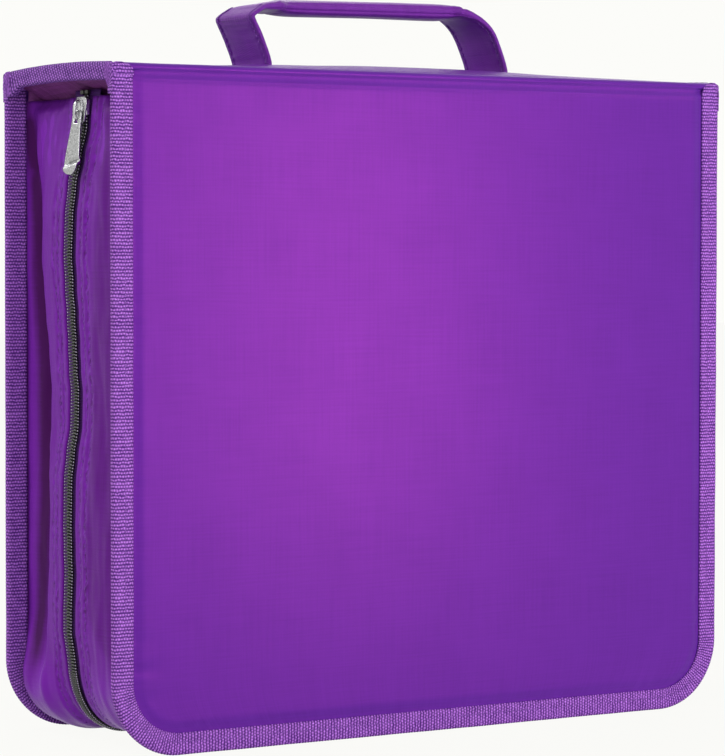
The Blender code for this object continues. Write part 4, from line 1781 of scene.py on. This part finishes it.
        bm = shaped_grid(84, 12, place, (21.0, 8.0), Vector((hand, 0, 0)))
        piece = make_piece(f"{cover.name}_corner_tape_{word}", bm, TAPE, THIN_T)
        start = (sizes.fold_y - 1.0, sizes.height - 1.0)
        end = (sizes.fold_y, sizes.height - self.lip_drop)
        self.bend(piece, cover, "binding_tape", start, end)

    def fold_tape(self, cover: Cover, hand: int, word: str) -> None:
        """The cover's edge tape where it runs over the fold and turns away to the side.

        Args:
            cover: The cover.
            hand: -1 for the left end, 1 for the right one.
            word: The end's name.
        """
        sizes = self.sizes
        side = cover.side
        upright, radius = 3.4, sizes.fold_r + 0.3
        reach = upright + radius * math.radians(84)

        def place(u: float, v: float) -> Vector:
            """Places a point of the tape over the fold.

            Args:
                u: Share along the piece.
                v: Share across it.

            Returns:
                The point in the case.
            """
            along = u * reach
            width = sizes.binding_w * max(0.0, 1 - u ** 2.6) ** 0.62 + 0.4
            inset = width * v - 0.25
            rib = 0.12 * math.cos(TURN * along / TAPE.pitch)
            rounded = 0.9 * (1 - ease(inset / 2.2))
            if along < upright:
                y = sizes.half_d + 0.12 + 0.18 * along / upright + rib - rounded
                z = sizes.fold_z - upright + along
            else:
                turn = math.pi / 2 - (along - upright) / radius
                r = radius + rib - rounded
                y, z = sizes.fold_y + r * math.sin(turn), sizes.fold_z + r * math.cos(turn)
            return Vector((hand * (sizes.half_w - inset), side * y, z))

        bm = shaped_grid(40, 14, place, (reach, sizes.binding_w), Vector((0, side, 0.3)))
        piece = make_piece(f"{cover.name}_fold_tape_{word}", bm, TAPE, THINNEST_T)
        self.bend(piece, cover, "binding_tape", *self.over_fold)

    def pleat(self, hand: int, word: str) -> None:
        """The cloth tucked in behind the hanging end, dark maroon with painted shade.

        Args:
            hand: -1 for the left end, 1 for the right one.
            word: The end's name.
        """
        sizes = self.sizes
        half_y = sizes.half_d - sizes.cover_t - 0.2
        section = Profile(
            [(2.3, -6.9), (2.3, -5.2), (3.4, -4.7), (5.2, -5.6), (8.5, -8.0), (13.0, -10.2),
             (16.5, -12.7), (18.4, -16.8), (20.0, -34.0)]
        )

        def place(u: float, v: float) -> Vector:
            """Places a point of the tucked cloth.

            Args:
                u: Share along the piece.
                v: Share across it.

            Returns:
                The point in the case.
            """
            y = half_y * (2 * u - 1)
            down = v * section.length
            point, normal = section.point(down), section.normal(down, 1.2)
            folds = wrinkle(y * 0.11, down * 0.06, 71.0 + hand) * 1.2 * ease((down - 3.0) / 8.0)
            point = point + normal * folds
            rise = sizes.dome(hand * sizes.half_w, y)
            if point.x > 10.9:
                point.x -= (point.x - 10.9) * ease((abs(y) - half_y + 2.2) / 2.0)
            return Vector((hand * (sizes.half_w - point.x), y, sizes.height + point.y + rise))

        bm = shaped_grid(150, 44, place, (2 * half_y, section.length), Vector((hand, 0, 0)))
        piece = make_piece(f"pleat_cloth_{word}", bm, PLEAT_PAINTED_SHADE, THIN_T)
        settle(piece, "spine", "gusset_nylon", f"spine_pleat_{word}")

    def padding(self) -> None:
        """The foam under the cloth."""
        low, high = node_box("spine_padding")

        def place(u: float, v: float) -> Vector:
            """Places a point of the foam's top.

            Args:
                u: Share along the piece.
                v: Share across it.

            Returns:
                The point in the case.
            """
            x = low.x + (high.x - low.x) * u
            y = low.y + (high.y - low.y) * v
            edge = min(x - low.x, high.x - x, y - low.y, high.y - y)
            crown = self.sizes.dome(x, y) * ease(edge / 6.0)
            return Vector((x, y, self.sizes.height - self.padding_sunk + crown))

        bm = shaped_grid(80, 30, place, (high.x - low.x, high.y - low.y), Vector((0, 0, 1)))
        rim = [edge for edge in bm.edges if edge.is_boundary]
        grown = bmesh.ops.extrude_edge_only(bm, edges=rim)["geom"]
        for vert in (item for item in grown if isinstance(item, bmesh.types.BMVert)):
            vert.co.z = low.z
        bmesh.ops.holes_fill(bm, edges=[edge for edge in bm.edges if edge.is_boundary])
        bmesh.ops.recalc_face_normals(bm, faces=bm.faces)
        piece = make_piece("spine_foam", bm, FOAM)
        settle(piece, "spine", "foam", "spine_padding")

    def lining(self) -> None:
        """The black cloth under the spine's board."""
        low, high = node_box("spine_lining")

        def place(u: float, v: float) -> Vector:
            """Places a point of the lining.

            Args:
                u: Share along the piece.
                v: Share across it.

            Returns:
                The point in the case.
            """
            x = low.x + (high.x - low.x) * u
            y = low.y + (high.y - low.y) * v
            return Vector((x, y, low.z + 0.1 * abs(wrinkle(x * 0.05, y * 0.05, 81.0))))

        bm = shaped_grid(80, 30, place, (high.x - low.x, high.y - low.y), Vector((0, 0, -1)))
        piece = make_piece("spine_lining_cloth", bm, LINING, THINNEST_T)
        settle(piece, "spine", "black_lining", "spine_lining")

    def build(self, covers: Sequence[Cover]) -> None:
        """Builds the spine's pieces in order.

        Args:
            covers: Both covers.
        """
        self.cloth()
        for cover in covers:
            self.fold(cover)
        for hand, word in ((-1, "left"), (1, "right")):
            self.lip(hand, word)
            self.pleat(hand, word)
            for cover in covers:
                self.lip_corner(cover, hand, word)
                self.fold_tape(cover, hand, word)
        self.padding()
        self.lining()


# The handle


@dataclass
class Handle:
    """A strap let into the spine at both ends and folded to a tube along its grip."""

    sizes: CaseSizes
    strap_w: float = 34.0
    strap_t: float = 2.6
    grip_w: float = 16.0
    grip_t: float = 7.6
    left: float = -65.0
    right: float = 65.5
    rise: float = 32.2
    sway: float = 8.2
    grip_seams: tuple = ((0.55, 0.03, 1.4), (0.44, 0.025, 1.0), (0.62, 0.025, 0.8))
    stitch_steps: int = 62
    stitch_inset: float = 2.6

    def route(self) -> list[tuple[float, float, float, float]]:
        """The strap's line: (x, z, width, thickness) from the left foot to the right one.

        Returns:
            The line's keys.
        """
        top = self.sizes.height + self.rise
        surface = self.sizes.height + self.sizes.dome_middle
        foot = self.sizes.height - 1.6
        left, right, sway = self.left, self.right, self.sway
        leg = (self.strap_w, self.strap_t)
        grip = (self.grip_w, self.grip_t)
        half_way = (25.0, 5.1)
        bend = (self.strap_w - 3.0, self.strap_t + 0.8)
        return [
            (left, foot, *leg),
            (left, surface, *leg),
            (left - 0.52 * sway, surface + 0.4 * (top - surface), *leg),
            (left - 0.97 * sway, top - 9.0, *leg),
            (left - 1.06 * sway, top - 7.2, *leg),
            (left - 1.0 * sway, top - 6.1, *leg),
            (left - 0.62 * sway, top - 3.9, *leg),
            (left - 0.1 * sway, top - 2.1, *bend),
            (left + 1.2 * sway, top - 1.3, *half_way),
            (left + 2.5 * sway, top - 1.3, *grip),
            ((left + right) / 2, top - 0.5, *grip),
            (right - 3.6 * sway, top, *grip),
            (right - 2.6 * sway, top - 0.4, *half_way),
            (right - 1.75 * sway, top - 3.2, *bend),
            (right - sway, top - 8.6, *leg),
            (right - 0.5 * sway, top - 16.0, *leg),
            (right, surface, *leg),
            (right, foot, *leg),
        ]

    def sampled(self, steps: int) -> list[Vector]:
        """The route as a smooth line of (x, z, width, thickness) points.

        Args:
            steps: Points between two keys.

        Returns:
            The points.
        """
        keys = [Vector(key) for key in self.route()]
        keys = [keys[0] * 2 - keys[1], *keys, keys[-1] * 2 - keys[-2]]
        found = []
        for a, b, c, d in zip(keys, keys[1:], keys[2:], keys[3:]):
            for i in range(steps):
                t = i / steps
                tangent_b, tangent_c = (c - a) * 0.5, (d - b) * 0.5
                h = t * t * (3 - 2 * t)
                found.append(
                    b * (1 - h) + c * h
                    + tangent_b * (t * (1 - t) ** 2) + tangent_c * (t * t * (t - 1))
                )
        found.append(keys[-2])
        return found

    def strap(self) -> None:
        """The strap itself, with its seams, folds and edge stitches."""
        line = self.sampled(11)
        marks = [0.0]
        for first, second in zip(line, line[1:]):
            marks.append(marks[-1] + (second.xy - first.xy).length)
        total = marks[-1]

        def at(share: float) -> tuple[Vector, Vector]:
            """Reads the strap's line.

            Args:
                share: Share along the line.

            Returns:
                The (x, z, width, thickness) point, and the line's run there.
            """
            spot = share * (len(line) - 1)
            i = min(int(spot), len(line) - 2)
            here = line[i].lerp(line[i + 1], spot - i)
            run = (line[min(i + 2, len(line) - 1)].xy - line[max(i - 1, 0)].xy).normalized()
            return here, run

        def place(u: float, v: float) -> Vector:
            """Places a point of the strap.

            Args:
                u: Share round the section.
                v: Share along the strap.

            Returns:
                The point in the case.
            """
            here, run = at(v)
            x, z, width, thick = here
            rolled = ease((self.strap_w - width) / (self.strap_w - self.grip_w))
            power = 2 / (5.5 - 3.2 * rolled)
            turn = TURN * u
            c, s = math.cos(turn), math.sin(turn)
            across = math.copysign(abs(c) ** power, c) * width / 2
            off = math.copysign(abs(s) ** power, s) * thick / 2
            along = v * total
            seam = sum(deep * hump(u, spot, reach) for spot, reach, deep in self.grip_seams)
            across *= 1 - 0.09 * rolled * seam
            flat = (1 - rolled) * ease((width / 2 - abs(across)) / 4.2)
            groove = (1 - rolled) * hump(abs(across), width / 2 - 3.4, 1.7)
            pucker = groove * (0.26 + 0.42 * wrinkle(along * 0.5, across * 0.12, 97.0))
            pucker += (1 - rolled) * 0.16 * wrinkle(along * 0.3, across * 0.25, 99.0)
            sunk = 0.22 * flat + pucker
            off -= math.copysign(min(sunk, abs(off) * 0.8), off)
            ring = (c * 1.1, s * 1.1)
            crease = noise.noise(Vector((along * 0.32 + ring[0], ring[1], 91.0)))
            crease *= hump(rolled, 0.55, 0.5) * 1.5
            dent = noise.noise(Vector((along * 0.06, ring[0] * 0.8, ring[1] * 0.8 + 9.0))) * 0.7
            swell = (crease + dent) * (0.15 + 0.85 * rolled)
            off += s * swell
            return Vector((x - run.y * off, across + c * swell, z + run.x * off))

        bm = shaped_grid(56, 230, place, (80.0, total))
        bmesh.ops.remove_doubles(bm, verts=bm.verts, dist=0.001)
        bmesh.ops.holes_fill(bm, edges=[edge for edge in bm.edges if edge.is_boundary])
        bmesh.ops.recalc_face_normals(bm, faces=bm.faces)
        piece = make_piece("handle_strap", bm, STRAP)
        settle(piece, "spine", "handle_webbing", "handle")
        self.stitches(line, at)

    def stitches(self, line: list[Vector], at: Callable[[float], tuple[Vector, Vector]]) -> None:
        """Rows of stitches near both edges of each leg.

        Args:
            line: The strap's line; not used.
            at: Gives the line's point and its run at a share.
        """
        places = []
        for i in range(self.stitch_steps):
            share = (i + 0.5) / self.stitch_steps
            here, run = at(share)
            x, z, width, thick = here
            if width < self.strap_w - 2 or z < self.sizes.height + 4:
                continue
            for y_side in (-1, 1):
                for face in (-1, 1):
                    normal = Vector((-run.y, 0, run.x)) * face
                    edge = Vector((x, y_side * (width / 2 - self.stitch_inset), z))
                    spot = edge + normal * (thick / 2 - 0.18)
                    places.append(oriented(spot, Vector((run.x, 0, run.y)), normal))
        rows = repeat(stitch_shape(*HANDLE_STITCH), places)
        piece = make_piece("handle_stitches", rows, THREAD)
        settle(piece, "spine", "handle_webbing")


# The slider and its pull


@dataclass
class Slider:
    """The zip's slider and the long pull that hangs on it."""

    pivot_n: float = 4.8
    lean_deg: float = 8.0
    turned_deg: float = 12.0
    length: float = 12.0
    width: float = 11.0
    pull_l: float = 29.0
    pull_t: float = 1.2
    pull_top: float = 3.1
    pull_foot: float = 4.75
    slot_half_w: float = 1.55
    slot_top: float = 0.9
    slot_foot: float = 5.9
    flange_x: float = 4.25
    upper_plate: tuple = (2.7, 3.7)
    lower_plate: tuple = (-1.55, -0.55)

    @property
    def pivot(self) -> Vector:
        """The pull's pivot."""
        place = next(j for j in frame["joints"] if j["name"] == "zip_pull_swing")["pos_m"]
        return Vector(place) / MM

    def to_case(self) -> Matrix:
        """Takes a point drawn (across, along, outwards) round the slider's middle to the case.

        Returns:
            The matrix.
        """
        run = next(j for j in frame["joints"] if j["name"] == "zip_run")["axis"]
        lean = Vector(run) / run[2]
        middle = self.pivot + Vector((self.pivot_n, 0, 0))
        turn = Matrix((Vector((0, -1, 0)), lean, Vector((-1, 0, 0)))).transposed()
        return Matrix.Translation(middle) @ turn.to_4x4()

    def plate(self, bm: bmesh.types.BMesh, low: float, high: float) -> None:
        """Adds one of the two plates, shaped like a shield.

        Args:
            bm: The shape that grows.
            low: The plate's inner face.
            high: Its outer face.
        """
        half_l, half_w = self.length / 2, self.width / 2
        outline = [
            (0.3 * half_w, -half_l), (0.62 * half_w, -0.85 * half_l), (0.8 * half_w, -0.2 * half_l),
            (half_w, 0.45 * half_l), (0.92 * half_w, 0.8 * half_l), (0.6 * half_w, half_l),
        ]
        outline += [(-x, y) for x, y in reversed(outline)]
        face = bm.faces.new([bm.verts.new((x, y, low)) for x, y in outline])
        grown = bmesh.ops.extrude_face_region(bm, geom=[face])["geom"]
        tops = [item for item in grown if isinstance(item, bmesh.types.BMVert)]
        bmesh.ops.translate(bm, vec=(0, 0, high - low), verts=tops)

    def body(self) -> None:
        """The slider: two plates, their bridge, the turned-in flanges and the bail."""
        bm = bmesh.new()
        self.plate(bm, *self.upper_plate)
        self.plate(bm, *self.lower_plate)
        for side in (-1, 1):
            add_block(bm, (side * self.flange_x, 1.3, 1.9), (0.8, 7.0, 2.2))
        add_block(bm, (0, 3.6, 1.1), (0.6, 3.2, 4.6))
        add_block(bm, (0, 0.0, 3.9), (3.4, 9.2, 0.8))
        bmesh.ops.recalc_face_normals(bm, faces=bm.faces)
        bmesh.ops.bevel(
            bm, geom=bm.edges[:], offset=0.22, affect="EDGES", segments=2, profile=0.5, material=-1
        )
        bail = [(0, -4.0, 3.6), (0, -3.9, 5.2), (0, -3.2, 6.3), (0, -1.6, 6.75), (0, 1.6, 6.75),
                (0, 3.2, 6.3), (0, 3.9, 5.2), (0, 4.0, 3.6)]
        arch = tube([Vector(point) for point in bail], 0.55, 8)
        bmesh.ops.scale(arch, vec=(2.1, 1, 1), verts=arch.verts)
        join(bm, arch)
        bmesh.ops.transform(bm, matrix=self.to_case(), verts=bm.verts)
        bmesh.ops.recalc_face_normals(bm, faces=bm.faces)
        piece = make_piece("slider_body", bm, NICKEL)
        settle(piece, "zip_slider", "nickel_plate", "zip_slider")

    def pull(self) -> None:
        """The pull: a slotted tab that widens, with a scooped hollow above its rounded lip."""

        def half_width(t: float) -> float:
            """Half the tab's width.

            Args:
                t: Share down the tab.

            Returns:
                The half width.
            """
            wide = self.pull_top + (self.pull_foot - self.pull_top) * ease((t - 0.12) / 0.7)
            shut = max(0.0, (t - 0.84) / 0.16)
            wide *= math.sqrt(max(0.0, 1 - shut ** 2.4 * 0.93))
            start = max(0.0, 1 - t / 0.06)
            return wide * (1 - 0.45 * start * start)

        def place(u: float, t: float) -> Vector:
            """Places a point of the tab's face.

            Args:
                u: Share across the tab.
                t: Share down it.

            Returns:
                The point, drawn round the pivot.
            """
            across = 2 * u - 1
            x = across * half_width(t)
            edge = 1 - abs(across)
            height = self.pull_t / 2 - 0.32 * (1 - ease(edge / 0.16))
            line = 0.80 - 0.045 * across
            hollow = ease((t - line + 0.05) / 0.05) * (1 - ease((t - line - 0.02) / 0.045))
            height -= 0.85 * hollow * ease((across + 0.75) / 0.5)
            height += 0.9 * ease((t - line - 0.02) / 0.06) * ease((1.02 - t) / 0.08)
            return Vector((x, -t * self.pull_l, height))

        bm = shaped_grid(26, 64, place, (9.5, self.pull_l), Vector((0, 0, 1)))
        gone = [
            face for face in bm.faces
            if abs(face.calc_center_median().x) < self.slot_half_w
            and self.slot_top < -face.calc_center_median().y < self.slot_foot
        ]
        bmesh.ops.delete(bm, geom=gone, context="FACES")
        upright = Matrix(((0, 0, -1, 0), (-1, 0, 0, 0), (0, 1, 0, 0), (0, 0, 0, 1)))
        out = Matrix.Rotation(math.radians(self.lean_deg), 4, "Y")
        turned = Matrix.Rotation(math.radians(self.turned_deg), 4, "Z")
        place_in = Matrix.Translation(self.pivot) @ out @ turned @ upright
        bmesh.ops.transform(bm, matrix=place_in, verts=bm.verts)
        piece = make_piece("pull_tab", bm, NICKEL, self.pull_t)
        settle(piece, "zip_pull", "nickel_plate", "zip_pull")

    def build(self) -> None:
        """Builds both pieces."""
        self.body()
        self.pull()


# Inside


@dataclass
class Booklets:
    """Blocks of sleeves, each held by its hem in a channel rail."""

    pages: int = 12
    page_t: float = 0.28
    seam: float = 0.25
    hem: float = 4.4
    shoulder: float = 16.0

    def block(self, number: int) -> None:
        """One block of sleeves: pages fanned a little at their lower edges.

        Args:
            number: The block's number, 1 to 4.
        """
        name = f"booklet_{number}"
        low, high = node_box(name)
        thick = high.y - low.y
        middle = (high.y + low.y) / 2
        bm = bmesh.new()
        for i in range(self.pages):
            share = (i + 0.5) / self.pages - 0.5
            drop = 0.9 * wrinkle(i * 0.7, number, 5.0)
            trim = 0.5 * abs(wrinkle(i * 1.3, number, 8.0))

            def place(
                u: float, v: float, share: float = share, drop: float = drop, trim: float = trim
            ) -> Vector:
                """Places a point of a page.

                Args:
                    u: Share along the page.
                    v: Share down it.
                    share: The page's place in the block.
                    drop: How far its foot hangs lower.
                    trim: How much shorter it is at each end.

                Returns:
                    The point in the case.
                """
                z = high.z - (high.z - low.z + drop - 0.9) * v
                spread = self.hem + (thick - self.hem) * ease((high.z - z) / self.shoulder)
                x = (low.x + trim) + (high.x - low.x - 2 * trim) * u
                return Vector((x, middle + share * spread * 0.93, z))

            size = (high.x - low.x, high.z - low.z)
            join(bm, shaped_grid(10, 22, place, size, Vector((0, 1, 0))))
        piece = make_piece(f"sleeve_block_{number}", bm, FILM, self.page_t)
        settle(piece, "spine", "sleeve_film", name)
        self.seams(number, low, high, middle)

    def seams(self, number: int, low: Vector, high: Vector, middle: float) -> None:
        """The welded seams of the pockets on a block's two outer pages.

        Args:
            number: The block's number.
            low: The block's lowest corner.
            high: Its highest corner.
            middle: The depth of its middle page.
        """
        bm = bmesh.new()
        half_t = (high.y - low.y) / 2 - 0.25
        top = high.z - 18.0
        bottom = low.z + 3.0
        for y in (middle - half_t, middle + half_t):
            for x in (low.x + 4, 0.0, high.x - 4):
                add_block(bm, (x, y, (top + bottom) / 2), (1.6, self.seam, top - bottom))
            for z in (bottom, (top + bottom) / 2, top):
                add_block(bm, (0.0, y, z), (high.x - low.x - 6, self.seam, 1.6))
        bmesh.ops.bevel(
            bm, geom=bm.edges[:], offset=0.08, affect="EDGES", segments=1, profile=0.5, material=-1
        )
        add_map(bm, lambda spot: (spot.x, spot.z))
        piece = make_piece(f"sleeve_seams_{number}", bm, FILM)
        settle(piece, "spine", "sleeve_film")

    def build(self) -> None:
        """Builds the four blocks."""
        for number in range(1, 5):
            self.block(number)


def dress_nodes() -> None:
    """Gives every CAD node that stays its finish."""
    # The zip stops take the nickel with painted shade.
    finishes = {"board": BOARD, "rail_rivet": STEEL, "booklet_rail": RAIL, "zip_stop": NICKEL_PAINTED_SHADE}
    for name, obj in frame["nodes"].items():
        if obj.hide_render:
            continue
        finish = next(f for word, f in finishes.items() if word in name)
        obj.data.materials.clear()
        obj.data.materials.append(finish.material())


# The studio


@dataclass(frozen=True)
class Lamp:
    """A soft square lamp aimed at the case."""

    name: str
    place: tuple[float, float, float]
    width: float
    height: float
    watts: float
    target: tuple[float, float, float] = (0.0, 0.0, 0.15)


@dataclass(frozen=True)
class Studio:
    """Pale floor, soft light and the camera."""

    place: tuple[float, float, float] = (-0.7986, -1.2649, 0.2234)
    azimuth: float = -32.12
    pitch: float = 2.397
    roll: float = 0.094
    focal: float = 3169.68
    frame_w: int = 725
    frame_h: int = 756
    sensor: float = 36.0
    ambient: float = 0.42
    floor_tone: float = 0.6
    floor_seen: float = 0.965
    paper: Colour = (0.973, 0.973, 0.947)
    lamps: tuple = (
        Lamp("key", (0.25, -2.2, 0.9), 1.2, 1.2, 14.0),
        Lamp("fill", (-1.0, -1.3, 0.7), 1.0, 1.0, 8.5),
        Lamp("side", (-1.1, 0.9, 1.5), 1.0, 1.0, 21.0),
        Lamp("back", (1.3, 1.5, 0.9), 1.2, 1.2, 8.0),
        Lamp("glow", (0.31, -0.66, 0.2), 0.12, 0.44, 2.1, (-0.06, -0.054, 0.18)),
    )

    def camera(self) -> None:
        """The camera at the photograph's place."""
        data = bpy.data.cameras.new("camera")
        data.sensor_width = self.sensor
        data.lens = self.focal / max(self.frame_w, self.frame_h) * self.sensor
        data.clip_start, data.clip_end = 0.01, 20.0
        camera = add_object("camera", data)
        a, p = math.radians(self.azimuth), math.radians(self.pitch)
        ahead = Vector((-math.sin(a) * math.cos(p), math.cos(a) * math.cos(p), -math.sin(p)))
        turn = ahead.to_track_quat("-Z", "Y").to_matrix().to_4x4()
        roll = Matrix.Rotation(math.radians(self.roll), 4, "Z")
        camera.matrix_world = Matrix.Translation(self.place) @ turn @ roll
        bpy.context.scene.camera = camera

    def seen(self, graph: Graph) -> bpy.types.NodeSocket:
        """1 where the background itself is seen, straight or in a gloss.

        Args:
            graph: The graph of the floor or the world.

        Returns:
            The value.
        """
        path = graph.node("ShaderNodeLightPath").outputs
        either = graph.maths("MAXIMUM", path["Is Camera Ray"], path["Is Glossy Ray"])
        return graph.maths("MAXIMUM", either, path["Is Transmission Ray"])

    def floor(self) -> None:
        """The pale floor, which keeps some of the case's shadow."""
        bm = bmesh.new()
        bmesh.ops.create_grid(bm, x_segments=4, y_segments=4, size=6.0)
        mesh = bpy.data.meshes.new("floor")
        bm.to_mesh(mesh)
        bm.free()
        floor = add_object("floor", mesh)
        material = bpy.data.materials.new("paper_floor")
        material.use_nodes = True
        graph = Graph(material.node_tree)
        shader = material.node_tree.nodes["Principled BSDF"]
        shader.inputs["Base Color"].default_value = (*[self.floor_tone] * 3, 1)
        shader.inputs["Roughness"].default_value = 0.9
        glow = graph.node("ShaderNodeEmission", {"Color": (*self.paper, 1), "Strength": 1.0})
        share = graph.maths("MULTIPLY", self.seen(graph), self.floor_seen)
        inputs = {0: share, 1: shader.outputs[0], 2: glow.outputs[0]}
        mixed = graph.node("ShaderNodeMixShader", inputs)
        out = material.node_tree.nodes["Material Output"]
        graph.feed(out.inputs["Surface"], mixed.outputs[0])
        mesh.materials.append(material)

    def world(self) -> None:
        """Even light all round, white where it is seen."""
        world = bpy.data.worlds.new("studio")
        bpy.context.scene.world = world
        world.use_nodes = True
        graph = Graph(world.node_tree)
        background = world.node_tree.nodes["Background"]
        background.inputs["Color"].default_value = (*self.paper, 1)
        strength = graph.maths("MULTIPLY_ADD", self.seen(graph), 1.0 - self.ambient, self.ambient)
        graph.feed(background.inputs["Strength"], strength)

    def build(self) -> None:
        """Sets up the stage."""
        self.camera()
        self.floor()
        self.world()
        for lamp in self.lamps:
            data = bpy.data.lights.new(lamp.name, "AREA")
            data.shape = "RECTANGLE"
            data.size, data.size_y = lamp.width, lamp.height
            data.energy = lamp.watts
            obj = add_object(lamp.name, data)
            obj.visible_camera = False
            aim = Vector(lamp.target) - Vector(lamp.place)
            turn = aim.to_track_quat("-Z", "Y").to_matrix().to_4x4()
            obj.matrix_world = Matrix.Translation(lamp.place) @ turn
        bpy.context.scene.view_settings.view_transform = "Standard"


def main() -> None:
    """Builds the studio and every sub-assembly in order."""
    Studio().build()
    sizes = CaseSizes.from_frame()
    line = ZipLine()
    covers = [Cover("front", -1, sizes, line), Cover("back", 1, sizes, line)]
    for cover in covers:
        log.info("cover: %s", cover.name)
        cover.build()
    Spine(sizes).build(covers)
    Handle(sizes).strap()
    Slider().build()
    Booklets().build()
    dress_nodes()


if __name__ == "__main__":
    main()
